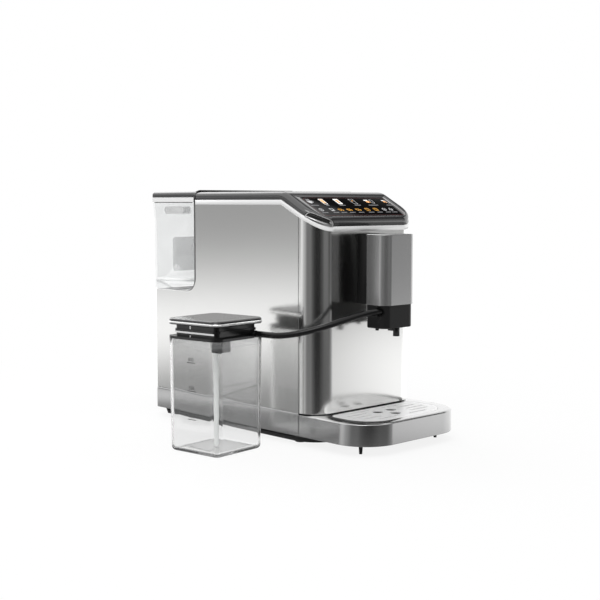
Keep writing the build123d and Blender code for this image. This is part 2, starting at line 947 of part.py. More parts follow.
tank_lid_round = 5.0
lid_locating_drop = 2.5
tank_lid_inset = 0.8


def lid_form(inset):
    """Rounded dome of the tank lid, running on in front of its hinge edge."""
    with BuildPart() as form:
        with BuildSketch(Plane.XY.offset(lid_strip_top)):
            add(
                rounded_plan(
                    half_width - tank_lid_inset - inset,
                    tank_shell_front - overrun,
                    tank_lid_rear - tank_lid_inset - inset,
                    clearance,
                    tank_lid_corner_radius - tank_lid_inset - inset,
                )
            )
        extrude(amount=tank_lid_top - lid_strip_top - inset)
        top_edges = form.faces().sort_by(Axis.Z)[-1].edges()
        fillet(
            top_edges.filter_by(lambda e: e.center().Y > tank_shell_front - overrun + 2 * clearance),
            tank_lid_round - inset,
        )
    return form


lid_barrel_rear = ear_axis_y + lid_hinge_radius
lid_strip_inner = half_width - trim_wall

with BuildPart() as tank_lid:
    add(lid_form(0).part)
    with BuildSketch(Plane.YZ):
        with Locations((ear_axis_y, ear_axis_z)):
            Circle(lid_hinge_radius)
        with Locations((ear_axis_y, lid_strip_top)):
            Rectangle(
                tank_lid_rear - ear_axis_y, tank_lid_top - lid_strip_top, align=(Align.MIN, Align.MIN)
            )
    extrude(amount=half_width, both=True, mode=Mode.INTERSECT)
    with BuildPart(mode=Mode.PRIVATE) as lid_hollow:
        add(lid_form(shell_wall).part)
        with BuildSketch(Plane.YZ):
            with Locations((lid_barrel_rear, 0)):
                Rectangle(tank_lid_rear - lid_barrel_rear, sky, align=(Align.MIN, Align.MIN))
        extrude(amount=half_width, both=True, mode=Mode.INTERSECT)
    add(lid_hollow.part, mode=Mode.SUBTRACT)
    with BuildSketch(Plane.XY.offset(lid_strip_top)):
        add(
            rounded_plan(
                lid_strip_inner - clearance,
                ear_axis_y,
                tank_lid_rear - trim_wall - 2 * clearance,
                clearance,
                tank_lid_corner_radius - trim_wall,
            )
        )
    extrude(amount=-lid_locating_drop)
    for ear_side in (-1, 1):
        with BuildSketch(Plane.YZ.offset(ear_side * tank_ear_x - tank_ear_width / 2 - clearance)):
            with Locations((tank_shell_front - overrun, lid_strip_bottom - overrun)):
                Rectangle(
                    overrun + 2 * lid_hinge_radius + 2 * clearance, 3 * overrun, align=(Align.MIN, Align.MIN)
                )
        extrude(amount=tank_ear_width + 2 * clearance, mode=Mode.SUBTRACT)
    with BuildSketch(Plane.YZ):
        with Locations((ear_axis_y, ear_axis_z)):
            Circle(hinge_pin_radius + running_clearance)
    extrude(amount=tank_ear_x + tank_pin_length, both=True, mode=Mode.SUBTRACT)
keep(tank_lid, "tank_lid")

with BuildPart() as tank_lid_strip:
    with BuildSketch(Plane.XY.offset(lid_strip_bottom)):
        add(
            rounded_plan(
                half_width, tank_shell_front - overrun, tank_lid_rear, clearance, tank_lid_corner_radius
            )
        )
        add(
            rounded_plan(
                lid_strip_inner,
                tank_shell_front - overrun,
                tank_lid_rear - trim_wall,
                clearance,
                tank_lid_corner_radius - trim_wall,
            ),
            mode=Mode.SUBTRACT,
        )
        keep_between(tank_shell_front, tank_lid_rear)
    extrude(amount=lid_strip_height)
keep(tank_lid_strip, "tank_lid_strip")

with BuildPart() as tank_lid_pins:
    for ear_side in (-1, 1):
        with BuildSketch(Plane.YZ.offset(ear_side * tank_ear_x - tank_pin_length / 2)):
            with Locations((ear_axis_y, ear_axis_z)):
                Circle(hinge_pin_radius)
        extrude(amount=tank_pin_length)
keep(tank_lid_pins, "tank_lid_pins")

# Drip tray: bright surround, black tub, pin feet and the grate

deck_gap = 0.4
deck_thickness = 3.0
deck_top = skirt_top - deck_gap
tub_floor_bottom = 14.5
tub_wall = 2.0
grate_seat = 2.5


def grate_plan(inset):
    """Outline of the grate: gently rounded behind, widely rounded in front."""
    return rounded_plan(
        grate_half_width - inset,
        grate_front + inset,
        grate_rear - inset,
        grate_front_radius - inset,
        grate_rear_radius - inset,
    )


with BuildPart() as tray_surround:
    with BuildSketch(Plane.XY.offset(foot_height)):
        add(tray_plan(0))
        add(tray_plan(tray_wall), mode=Mode.SUBTRACT)
        keep_between(tray_front, -seam_gap / 2)
    extrude(amount=deck_top - foot_height)
    with BuildSketch(Plane.XY.offset(deck_top - deck_thickness)):
        add(tray_plan(tray_wall / 2))
        keep_between(tray_front, -seam_gap / 2)
    extrude(amount=deck_thickness)
    tray_rim = tray_surround.faces().sort_by(Axis.Z)[-1].outer_wire().edges()
    chamfer(
        tray_rim.filter_by(lambda e: e.center().Y < -clearance - seam_gap),
        tray_bevel_height,
        tray_bevel_depth,
    )
    with BuildSketch(Plane.XY.offset(deck_top)):
        add(grate_plan(-clearance))
    extrude(amount=-grate_thickness, mode=Mode.SUBTRACT)
    with BuildSketch(Plane.XY.offset(deck_top)):
        add(grate_plan(grate_seat))
    extrude(amount=-deck_thickness, mode=Mode.SUBTRACT)
keep(tray_surround, "tray_surround")

tub_inset = tray_wall + clearance
tub_top = deck_top - deck_thickness

with BuildPart() as tray_tub:
    with BuildSketch(Plane.XY.offset(tub_floor_bottom)):
        add(tray_plan(tub_inset))
        keep_between(tray_front, -seam_gap - tub_wall)
    extrude(amount=tub_top - tub_floor_bottom)
    with BuildSketch(Plane.XY.offset(tub_floor_bottom + tub_wall)):
        add(tray_plan(tub_inset + tub_wall))
        keep_between(tray_front, -seam_gap - 2 * tub_wall)
    extrude(amount=tub_top - tub_floor_bottom, mode=Mode.SUBTRACT)
keep(tray_tub, "tray_tub")

tray_pin_tip = 2.0

with BuildPart() as tray_pins:
    for pin_side in (-1, 1):
        with Locations((pin_side * tray_pin_x, tray_pin_y, tub_floor_bottom / 2)):
            Cone(tray_pin_tip, tray_pin_radius, tub_floor_bottom)
keep(tray_pins, "tray_pins")

with BuildPart() as drip_grate:
    with BuildSketch(Plane.XY.offset(deck_top - grate_thickness)):
        add(grate_plan(0))
        for row, middle_share in enumerate(slot_middle_shares):
            slot_y = slot_rear_y - row * slot_pitch
            with Locations((-middle_share * slot_length, slot_y), (middle_share * slot_length, slot_y)):
                SlotOverall(slot_length, slot_width, mode=Mode.SUBTRACT)
        with Locations((-side_hole_x, side_hole_y), (side_hole_x, side_hole_y), (0, front_hole_y)):
            Circle(hole_radius, mode=Mode.SUBTRACT)
    extrude(amount=grate_thickness)
keep(drip_grate, "drip_grate")

# Spout that slides on a rail in front of the column

rail_bottom = spout_cover_bottom
rail_top = spout_top
rail_front = front_face - rail_depth

with BuildPart() as spout_rail:
    with BuildSketch(Plane.XY.offset(rail_bottom)):
        with Locations((0, front_face)):
            Rectangle(rail_width, rail_depth, align=(Align.CENTER, Align.MAX))
        with Locations((0, rail_front)):
            Rectangle(rail_flange_width, rail_flange_depth, align=(Align.CENTER, Align.MIN))
    extrude(amount=rail_top - rail_bottom)
keep(spout_rail, "spout_rail")

carriage_top = spout_top - clearance

with BuildPart() as spout_carriage:
    with BuildSketch(Plane.XY.offset(spout_cover_bottom)):
        with Locations((0, front_face - clearance)):
            Rectangle(
                carriage_width, front_face - clearance - spout_back, align=(Align.CENTER, Align.MAX)
            )
        with Locations((0, front_face)):
            Rectangle(
                rail_width + 2 * clearance,
                rail_depth + clearance,
                align=(Align.CENTER, Align.MAX),
                mode=Mode.SUBTRACT,
            )
        with Locations((0, rail_front - clearance)):
            Rectangle(
                rail_flange_width + 2 * clearance,
                rail_flange_depth + 2 * clearance,
                align=(Align.CENTER, Align.MIN),
                mode=Mode.SUBTRACT,
            )
    extrude(amount=carriage_top - spout_cover_bottom)
keep(spout_carriage, "spout_carriage")


def spout_plan(half, front, radius):
    """Plan of the spout: square against the carriage, rounded in front."""
    with BuildSketch() as plan:
        with Locations((0, spout_back)):
            Rectangle(2 * half, spout_back - front, align=(Align.CENTER, Align.MAX))
        fillet(plan.vertices().group_by(Axis.Y)[0], radius)
    return plan.sketch


with BuildPart() as spout_cover:
    with BuildSketch(Plane.XY.offset(spout_cover_bottom)):
        add(spout_plan(spout_width / 2, spout_front, spout_corner_radius))
    extrude(amount=spout_top - spout_cover_bottom)
    fillet(
        spout_cover.faces().sort_by(Axis.Z)[-1].edges().filter_by(
            lambda e: e.center().Y < spout_back - clearance
        ),
        spout_wall / 2,
    )
    with BuildSketch(Plane.XY.offset(spout_cover_bottom)):
        add(
            spout_plan(
                spout_width / 2 - spout_wall, spout_front + spout_wall, spout_corner_radius - spout_wall
            )
        )
    extrude(amount=spout_top - spout_wall - spout_cover_bottom, mode=Mode.SUBTRACT)
keep(spout_cover, "spout_cover")

block_core_height = 52.0
core_inset = spout_wall + clearance
outlet_radius = 2.4
outlet_x = 18.0
outlet_y = -64.0
collar_radius = 6.0
collar_height = 3.6

with BuildPart() as frother_block:
    with BuildSketch(Plane.XY.offset(block_bottom)):
        add(spout_plan(block_width / 2, block_front, block_corner_radius))
    extrude(amount=spout_cover_bottom - clearance - block_bottom)
    with BuildSketch(Plane.XY.offset(spout_cover_bottom - clearance)):
        add(
            spout_plan(
                spout_width / 2 - core_inset, spout_front + core_inset, spout_corner_radius - core_inset
            )
        )
    extrude(amount=block_core_height)
    chamfer(frother_block.faces().sort_by(Axis.Z)[0].edges(), spout_wall / 2)
    with BuildSketch(Plane.YZ.offset(-block_width / 2)):
        with Locations((milk_port_y, milk_port_height)):
            Circle(milk_port_radius)
    extrude(amount=milk_port_depth, mode=Mode.SUBTRACT)
keep(frother_block, "frother_block")

with BuildPart() as coffee_nozzles:
    with BuildSketch(Plane.XY.offset(block_bottom)):
        with Locations((0, nozzle_y)):
            Circle(nozzle_radius)
    extrude(amount=nozzle_bottom - block_bottom)
    with BuildSketch(Plane.XY.offset(block_bottom)):
        with Locations((0, nozzle_y + nozzle_radius)):
            SlotOverall(3 * collar_radius, 2 * collar_radius)
    extrude(amount=-collar_height)
    with BuildSketch(Plane.XY.offset(block_bottom)):
        with Locations((-outlet_x, outlet_y), (outlet_x, outlet_y)):
            Circle(outlet_radius)
    extrude(amount=-collar_height)
    with Locations(Plane((0, nozzle_y, nozzle_bottom), z_dir=(0, 0, -1))):
        Hole(nozzle_radius / 2, depth=2 * collar_height)
keep(coffee_nozzles, "coffee_nozzles")

# Milk jug and its lid, turned a little on the table

jug_plane = Plane(
    origin=(jug_x, jug_y, 0),
    x_dir=(math.cos(jug_turn_radians), math.sin(jug_turn_radians), 0),
    z_dir=(0, 0, 1),
)
jug_spread = (jug_width - jug_foot_width) / 2
jug_taper = math.degrees(math.atan(jug_spread / jug_height))
jug_foot_corner = jug_corner_radius - jug_spread

with BuildPart() as milk_jug:
    with BuildSketch(jug_plane):
        RectangleRounded(jug_foot_width, jug_foot_width, jug_foot_corner)
    extrude(amount=jug_height, taper=-jug_taper)
    fillet(milk_jug.faces().sort_by(Axis.Z)[0].edges(), jug_foot_round)
    with BuildPart(mode=Mode.PRIVATE) as jug_inside:
        with BuildSketch(jug_plane.offset(jug_base)):
            RectangleRounded(
                jug_foot_width - 2 * jug_wall, jug_foot_width - 2 * jug_wall, jug_foot_corner - jug_wall
            )
        extrude(amount=jug_height, taper=-jug_taper)
        fillet(jug_inside.faces().sort_by(Axis.Z)[0].edges(), jug_foot_round - jug_wall)
    add(jug_inside.part, mode=Mode.SUBTRACT)
keep(milk_jug, "milk_jug")

flange_bottom = jug_height + clearance
neck_bottom = flange_bottom + lid_flange_thickness
neck_top = neck_bottom + neck_height
ridge_bottom = neck_bottom + neck_height / 2 - neck_ridge_height / 2
ridge_width = neck_width + 2 * neck_ridge_reach
plug_width = jug_width - 2 * jug_wall - 2 * jug_spread * lid_plug_depth / jug_height - 2 * clearance
plug_corner = jug_corner_radius - jug_wall - clearance

with BuildPart() as milk_lid_neck:
    with BuildSketch(jug_plane.offset(flange_bottom)):
        RectangleRounded(jug_width, jug_width, jug_corner_radius)
        with Locations((nipple_x, -jug_width / 2)):
            Rectangle(
                2 * nipple_radius + 2 * clearance,
                jug_width - neck_width,
                mode=Mode.SUBTRACT,
            )
    extrude(amount=lid_flange_thickness)
    with BuildSketch(jug_plane.offset(neck_bottom)):
        RectangleRounded(neck_width, neck_width, neck_corner_radius)
    extrude(amount=neck_height)
    with BuildSketch(jug_plane.offset(ridge_bottom)):
        RectangleRounded(ridge_width, ridge_width, neck_corner_radius + neck_ridge_reach)
        with Locations((nipple_x, -jug_width / 2)):
            Rectangle(
                2 * nipple_radius + 2 * clearance, jug_width - neck_width, mode=Mode.SUBTRACT
            )
    extrude(amount=neck_ridge_height)
    with BuildSketch(jug_plane.offset(flange_bottom)):
        with Locations((socket_offset_x, socket_offset_y)):
            Rectangle(socket_width, socket_width)
    extrude(amount=-socket_depth)
    with BuildSketch(jug_plane.offset(flange_bottom - socket_depth)):
        Circle(dip_tube_radius)
    extrude(amount=dip_tube_engagement, mode=Mode.SUBTRACT)
keep(milk_lid_neck, "milk_lid_neck")

with BuildPart() as milk_lid_top:
    with BuildSketch(jug_plane.offset(neck_top)):
        RectangleRounded(jug_width, jug_width, jug_corner_radius)
    extrude(amount=lid_top_height)
    fillet(milk_lid_top.faces().sort_by(Axis.Z)[-1].edges(), lid_top_round)
    chamfer(milk_lid_top.faces().sort_by(Axis.Z)[0].edges(), lid_band_rise / 2)
    with BuildSketch(jug_plane.offset(neck_top + lid_band_rise)):
        RectangleRounded(jug_width + jug_wall, jug_width + jug_wall, jug_corner_radius)
        RectangleRounded(
            jug_width - 2 * jug_wall,
            jug_width - 2 * jug_wall,
            jug_corner_radius - jug_wall,
            mode=Mode.SUBTRACT,
        )
    extrude(amount=lid_band_height, mode=Mode.SUBTRACT)
keep(milk_lid_top, "milk_lid_top")

with BuildPart() as milk_lid_band:
    with BuildSketch(jug_plane.offset(neck_top + lid_band_rise)):
        RectangleRounded(
            jug_width + 2 * lid_band_proud, jug_width + 2 * lid_band_proud, jug_corner_radius + lid_band_proud
        )
        RectangleRounded(
            jug_width - 2 * jug_wall,
            jug_width - 2 * jug_wall,
            jug_corner_radius - jug_wall,
            mode=Mode.SUBTRACT,
        )
    extrude(amount=lid_band_height)
keep(milk_lid_band, "milk_lid_band")

with BuildPart() as lid_gasket:
    with BuildSketch(jug_plane.offset(flange_bottom)):
        RectangleRounded(plug_width, plug_width, plug_corner)
        RectangleRounded(
            plug_width - 2 * lid_plug_wall,
            plug_width - 2 * lid_plug_wall,
            plug_corner - lid_plug_wall,
            mode=Mode.SUBTRACT,
        )
    extrude(amount=-lid_plug_depth)
keep(lid_gasket, "lid_gasket")

dip_tube_bottom = jug_base + dip_tube_clearance
dip_tube_top = flange_bottom - socket_depth + dip_tube_engagement

with BuildPart() as dip_tube:
    with BuildSketch(jug_plane.offset(dip_tube_bottom)):
        Circle(dip_tube_radius)
        Circle(dip_tube_bore, mode=Mode.SUBTRACT)
    extrude(amount=dip_tube_top - dip_tube_bottom)
keep(dip_tube, "dip_tube")

nipple_plane = Plane(
    origin=jug_plane.from_local_coords((nipple_x, -neck_width / 2, nipple_height)),
    x_dir=jug_plane.x_dir,
    z_dir=-jug_plane.y_dir,
)

with BuildPart() as hose_nipple:
    with BuildSketch(nipple_plane):
        Circle(nipple_radius)
        Circle(hose_bore_radius, mode=Mode.SUBTRACT)
    extrude(amount=nipple_reach)
keep(hose_nipple, "hose_nipple")

# Milk hose, in two stretches that meet face to face. Points chosen by hand, in the table's own millimetres

hose_straight = 14.0
hose_start = nipple_plane.from_local_coords((0, 0, nipple_reach))
hose_turn = nipple_plane.from_local_coords((0, 0, nipple_reach + hose_straight))
hose_end_x = -block_width / 2 + milk_port_depth - clearance
hose_split = (-71.0, -71.1, 171.5)
hose_route_jug = [
    (hose_start.X, hose_start.Y, hose_start.Z),
    (hose_turn.X, hose_turn.Y, hose_turn.Z),
    (-144.0, -14.0, 148.9),
    (-129.0, -37.5, 153.4),
    (-107.0, -55.5, 160.7),
    (-82.0, -67.6, 168.7),
    hose_split,
]
hose_route_spout = [
    hose_split,
    (-60.0, -74.6, 174.3),
    (-42.0, milk_port_y, milk_port_height),
    (hose_end_x, milk_port_y, milk_port_height),
]
arc_share = 0.45


def hose_radii(route):
    """Arc at each corner of a route, as large as its two runs allow."""
    points = [Vector(*point) for point in route]
    radii = []
    for before, corner, after in zip(points, points[1:], points[2:]):
        arriving = corner - before
        leaving = after - corner
        half_turn = math.radians(arriving.get_angle(leaving)) / 2
        radii.append(arc_share * min(arriving.length, leaving.length) / math.tan(half_turn))
    return radii


def hose_stretch(route):
    """Round tube along a route of straight runs and tangent arcs."""
    with BuildPart() as stretch:
        with BuildLine() as path:
            FilletPolyline(*route, radius=hose_radii(route))
        start_plane = Plane(origin=path.wires()[0] @ 0, z_dir=path.wires()[0] % 0)
        with BuildSketch(start_plane) as section:
            Circle(hose_radius)
        sweep(section.sketch, path=path.wires()[0])
    hose_length = path.wires()[0].length
    print("hose stretch", round(hose_length, 1), "radii", [round(radius, 1) for radius in hose_radii(route)])
    print("volume over section times length", stretch.part.volume / (math.pi * hose_radius**2 * hose_length))
    return stretch


milk_hose_jug_end = hose_stretch(hose_route_jug)
keep(milk_hose_jug_end, "milk_hose_jug_end")
milk_hose_spout_end = hose_stretch(hose_route_spout)
keep(milk_hose_spout_end, "milk_hose_spout_end")

# Inner frame that carries the works

frame_front = shell_wall + seam_gap
frame_rear = body_rear - shell_wall - frame_gap
frame_corner = rear_corner_radius - shell_wall
side_wall_top = service_top + 2 * frame_wall
divider_x = 24.0
shelf_top = service_bottom + seam_gap - clearance
chute_hole = 24.0


def frame_block(x_low, x_high, y_low, y_high, z_low, z_high, mode=Mode.ADD):
    """Straight wall or block between two corners, added to the open part."""
    with Locations(((x_low + x_high) / 2, (y_low + y_high) / 2, (z_low + z_high) / 2)):
        Box(x_high - x_low, y_high - y_low, z_high - z_low, mode=mode)


with BuildPart() as inner_frame:
    with BuildSketch(Plane.XY.offset(frame_floor_bottom)):
        with Locations((0, (frame_front + frame_rear) / 2)):
            RectangleRounded(2 * frame_half, frame_rear - frame_front, frame_corner)
    extrude(amount=frame_wall)
    frame_block(
        -frame_half,
        frame_half,
        tank_front - frame_wall,
        tank_front,
        frame_floor_bottom,
        roof_height - frame_wall,
    )
    frame_block(
        -frame_half, frame_wall - frame_half, frame_front, tank_front, frame_floor_bottom, side_wall_top
    )
    frame_block(
        frame_half - frame_wall,
        frame_half,
        frame_front,
        service_front - frame_wall,
        frame_floor_bottom,
        side_wall_top,
    )
    frame_block(
        frame_half - frame_wall,
        frame_half,
        service_rear + frame_wall,
        tank_front,
        frame_floor_bottom,
        side_wall_top,
    )
    frame_block(-frame_half, frame_half, frame_front, tank_front, deck_height, deck_top_z)
    frame_block(
        divider_x, divider_x + frame_wall, service_front, service_rear, bin_top + frame_wall, deck_height
    )
    frame_block(
        half_width - bin_depth - frame_wall,
        frame_half,
        service_front - frame_wall,
        service_rear + frame_wall,
        shelf_top - frame_wall,
        shelf_top,
    )
    for rib_y in (service_front - frame_wall, service_rear):
        frame_block(
            half_width - bin_depth - frame_wall,
            frame_half,
            rib_y,
            rib_y + frame_wall,
            frame_floor_bottom,
            shelf_top,
        )
    frame_block(
        -frame_half + frame_corner,
        frame_half - frame_corner,
        frame_rear - frame_wall,
        frame_rear,
        frame_floor_bottom,
        dock_top - dock_thickness,
    )
    frame_block(
        inlet_x - inlet_width / 2,
        inlet_x + inlet_width / 2,
        frame_rear - 2 * frame_wall,
        body_rear,
        inlet_z - inlet_height / 2,
        inlet_z + inlet_height / 2,
        mode=Mode.SUBTRACT,
    )
    frame_block(
        door_axis_x - 2 * door_barrel_radius,
        half_width,
        door_axis_y - 2 * door_barrel_radius,
        service_rear + frame_wall,
        deck_height - clearance,
        side_wall_top,
        mode=Mode.SUBTRACT,
    )
    with Locations((0, grinder_y, deck_top_z)):
        Hole(motor_radius - frame_wall)
    frame_block(
        brew_x - chute_hole / 2,
        brew_x + chute_hole / 2,
        brew_y - chute_hole / 2,
        brew_y + chute_hole / 2,
        deck_height - frame_wall,
        deck_top_z + frame_wall,
        mode=Mode.SUBTRACT,
    )
keep(inner_frame, "inner_frame")

# Grounds bin that pulls out of the right side, with its own front

bin_front_top = bin_top - seam_gap
bin_inner_x = half_width - bin_depth
bin_low_y = service_front + 2 * bin_wall
bin_high_y = service_rear - 2 * bin_wall
bin_rim = bin_top - 2 * bin_wall
scoop_width = 46.0
scoop_depth = 11.0

with BuildPart() as grounds_bin:
    frame_block(bin_inner_x, inner_half, bin_low_y, bin_high_y, shelf_top + clearance, bin_rim)
    fillet(grounds_bin.edges().filter_by(Axis.Z).group_by(Axis.X)[0], 3 * bin_wall)
    frame_block(
        bin_inner_x + bin_wall,
        inner_half - bin_wall,
        bin_low_y + bin_wall,
        bin_high_y - bin_wall,
        shelf_top + clearance + bin_wall,
        sky,
        mode=Mode.SUBTRACT,
    )
keep(grounds_bin, "grounds_bin")

with BuildPart() as bin_front:
    frame_block(
        inner_half,
        half_width,
        service_front + seam_gap,
        service_rear - seam_gap,
        service_bottom + seam_gap,
        bin_front_top,
    )
    with BuildSketch(Plane.YZ.offset(half_width)):
        with Locations((service_middle, bin_front_top)):
            SlotOverall(scoop_width, 2 * scoop_depth)
    extrude(amount=-shell_wall, mode=Mode.SUBTRACT)
keep(bin_front, "bin_front")

# Service door on the right side and its hinge

door_bottom = bin_top
door_top = service_top - seam_gap
door_front_y = service_front + seam_gap
lug_gap = clearance
finger_notch_length = 36.0
finger_notch_depth = 7.0

with BuildPart() as service_door:
    frame_block(inner_half, half_width, door_front_y, door_axis_y, door_bottom, door_top)
    with BuildSketch(Plane.XY.offset(door_bottom)):
        with Locations((door_axis_x, door_axis_y)):
            Circle(door_barrel_radius)
    extrude(amount=door_top - door_bottom)
    lug_height = door_lug_height + lug_gap
    for lug_low in (door_bottom, door_top - lug_height):
        frame_block(
            door_axis_x - 2 * door_barrel_radius,
            half_width + overrun,
            door_axis_y - door_barrel_radius - lug_gap,
            door_axis_y + 2 * door_barrel_radius,
            lug_low,
            lug_low + lug_height,
            mode=Mode.SUBTRACT,
        )
    with BuildSketch(Plane.XY.offset(door_bottom)):
        with Locations((door_axis_x, door_axis_y)):
            Circle(door_pin_radius + running_clearance)
    extrude(amount=door_top - door_bottom, mode=Mode.SUBTRACT)
    with BuildSketch(Plane.YZ.offset(half_width)):
        with Locations((door_front_y, (door_bottom + door_top) / 2)):
            SlotOverall(finger_notch_length, 2 * finger_notch_depth, rotation=90)
    extrude(amount=-shell_wall, mode=Mode.SUBTRACT)
keep(service_door, "service_door")

with BuildPart() as door_hinge:
    for lug_low, pin_low, pin_high in (
        (door_bottom, door_bottom, door_bottom + 3 * door_lug_height),
        (door_top - door_lug_height, door_top - 3 * door_lug_height, door_top),
    ):
        with BuildSketch(Plane.XY.offset(lug_low)):
            with Locations((door_axis_x, door_axis_y)):
                Circle(door_barrel_radius)
        extrude(amount=door_lug_height)
        frame_block(
            frame_half - frame_wall,
            door_axis_x,
            door_axis_y - door_pin_radius,
            service_rear + frame_wall,
            lug_low,
            lug_low + door_lug_height,
        )
        with BuildSketch(Plane.XY.offset(pin_low)):
            with Locations((door_axis_x, door_axis_y)):
                Circle(door_pin_radius)
        extrude(amount=pin_high - pin_low)
keep(door_hinge, "door_hinge")

# Brew unit behind the service door

brew_plate = 5.0
brew_frame_half = 28.0
piston_rise = 2.0
piston_rod_radius = 5.0
piston_rod_length = 20.0
brew_back = divider_x + frame_wall

with BuildPart() as brew_frame:
    frame_block(
        brew_back,
        brew_back + brew_plate,
        brew_y - brew_frame_half,
        brew_y + brew_frame_half,
        chamber_bottom - brew_plate,
        chamber_top,
    )
    frame_block(
        brew_back,
        brew_x + brew_chamber_radius,
        brew_y - brew_frame_half,
        brew_y + brew_frame_half,
        chamber_bottom - brew_plate,
        chamber_bottom,
    )
    with BuildSketch(Plane.XY.offset(chamber_bottom)):
        with Locations((brew_x, brew_y)):
            Circle(brew_chamber_radius)
    extrude(amount=brew_chamber_height)
    with BuildSketch(Plane.XY.offset(chamber_bottom)):
        with Locations((brew_x, brew_y)):
            Circle(brew_bore)
    extrude(amount=brew_chamber_height, mode=Mode.SUBTRACT)
    with Locations((brew_x, brew_y, chamber_bottom)):
        Hole(piston_rod_radius + running_clearance)
keep(brew_frame, "brew_frame")

with BuildPart() as brew_piston:
    with BuildSketch(Plane.XY.offset(chamber_bottom + piston_rise)):
        with Locations((brew_x, brew_y)):
            Circle(brew_bore - running_clearance)
    extrude(amount=piston_height)
    with BuildSketch(Plane.XY.offset(chamber_bottom + piston_rise)):
        with Locations((brew_x, brew_y)):
            Circle(piston_rod_radius)
    extrude(amount=-piston_rod_length)
keep(brew_piston, "brew_piston")

# Grinder with its burrs and motor, and the hopper above it

burr_clearance = 0.4
cone_base_radius = 19.0
cone_top_radius = 11.0
burr_inner_radius = 14.0
tooth_depth = 1.6
tooth_width = 2.0
shaft_radius = 4.0
burr_bottom = grinder_top - burr_height
chute_half = 10.0
chute_wall = 2.0
chute_drop = 14.0

with BuildPart() as grinder_body:
    with BuildSketch(Plane.XY.offset(deck_top_z)):
        with Locations((0, grinder_y)):
            Circle(grinder_radius)
    extrude(amount=grinder_height)
    with Locations((0, grinder_y, grinder_top)):
        CounterBoreHole(cone_base_radius + 2 * burr_clearance, burr_radius + running_clearance, burr_height)
    frame_block(
        grinder_radius - chute_wall,
        brew_x + chute_half,
        brew_y - chute_half,
        brew_y + chute_half,
        deck_top_z,
        deck_top_z + chute_drop,
    )
    frame_block(
        grinder_radius + chute_wall,
        brew_x + chute_half - chute_wall,
        brew_y - chute_half + chute_wall,
        brew_y + chute_half - chute_wall,
        deck_top_z,
        deck_top_z + chute_drop - chute_wall,
        mode=Mode.SUBTRACT,
    )
keep(grinder_body, "grinder_body")

with BuildPart() as upper_burr:
    with BuildSketch(Plane.XY.offset(burr_bottom)):
        with Locations((0, grinder_y)):
            Circle(burr_radius)
    extrude(amount=burr_height)
    with Locations((0, grinder_y, burr_bottom + burr_height / 2)):
        Cone(
            cone_base_radius + burr_clearance,
            burr_inner_radius + burr_clearance,
            burr_height,
            mode=Mode.SUBTRACT,
        )
keep(upper_burr, "upper_burr")

with BuildPart() as lower_burr:
    with Locations((0, grinder_y, burr_bottom + burr_height / 2)):
        Cone(cone_base_radius, cone_top_radius, burr_height)
    with BuildSketch(Plane.XY.offset(burr_bottom)):
        with Locations((0, grinder_y)):
            with PolarLocations(cone_base_radius - tooth_depth, burr_teeth):
                Rectangle(3 * tooth_depth, tooth_width)
    extrude(amount=burr_height, mode=Mode.SUBTRACT)
    with BuildSketch(Plane.XY.offset(burr_bottom)):
        with Locations((0, grinder_y)):
            Circle(cone_base_radius - 2 * tooth_depth)
    extrude(amount=-tooth_width)
    with BuildSketch(Plane.XY.offset(burr_bottom)):
        with Locations((0, grinder_y)):
            Circle(shaft_radius)
    extrude(amount=deck_height + clearance - burr_bottom)
keep(lower_burr, "lower_burr")

with BuildPart() as grinder_motor:
    with BuildSketch(Plane.XY.offset(deck_height)):
        with Locations((0, grinder_y)):
            Circle(motor_radius)
    extrude(amount=-motor_height)
    chamfer(grinder_motor.faces().sort_by(Axis.Z)[0].edges(), shaft_radius)
keep(grinder_motor, "grinder_motor")

bowl_half = lid_opening_half - clearance
bowl_front = lid_opening_front + clearance
bowl_back = hopper_axis_y - hopper_barrel_radius - clearance
bowl_middle = (bowl_front + bowl_rear) / 2
ledge_top = hopper_axis_z - hopper_barrel_radius - clearance
neck_radius = 20.0
dial_shaft_radius = 3.0
dial_flutes = 12
flute_radius = 1.6

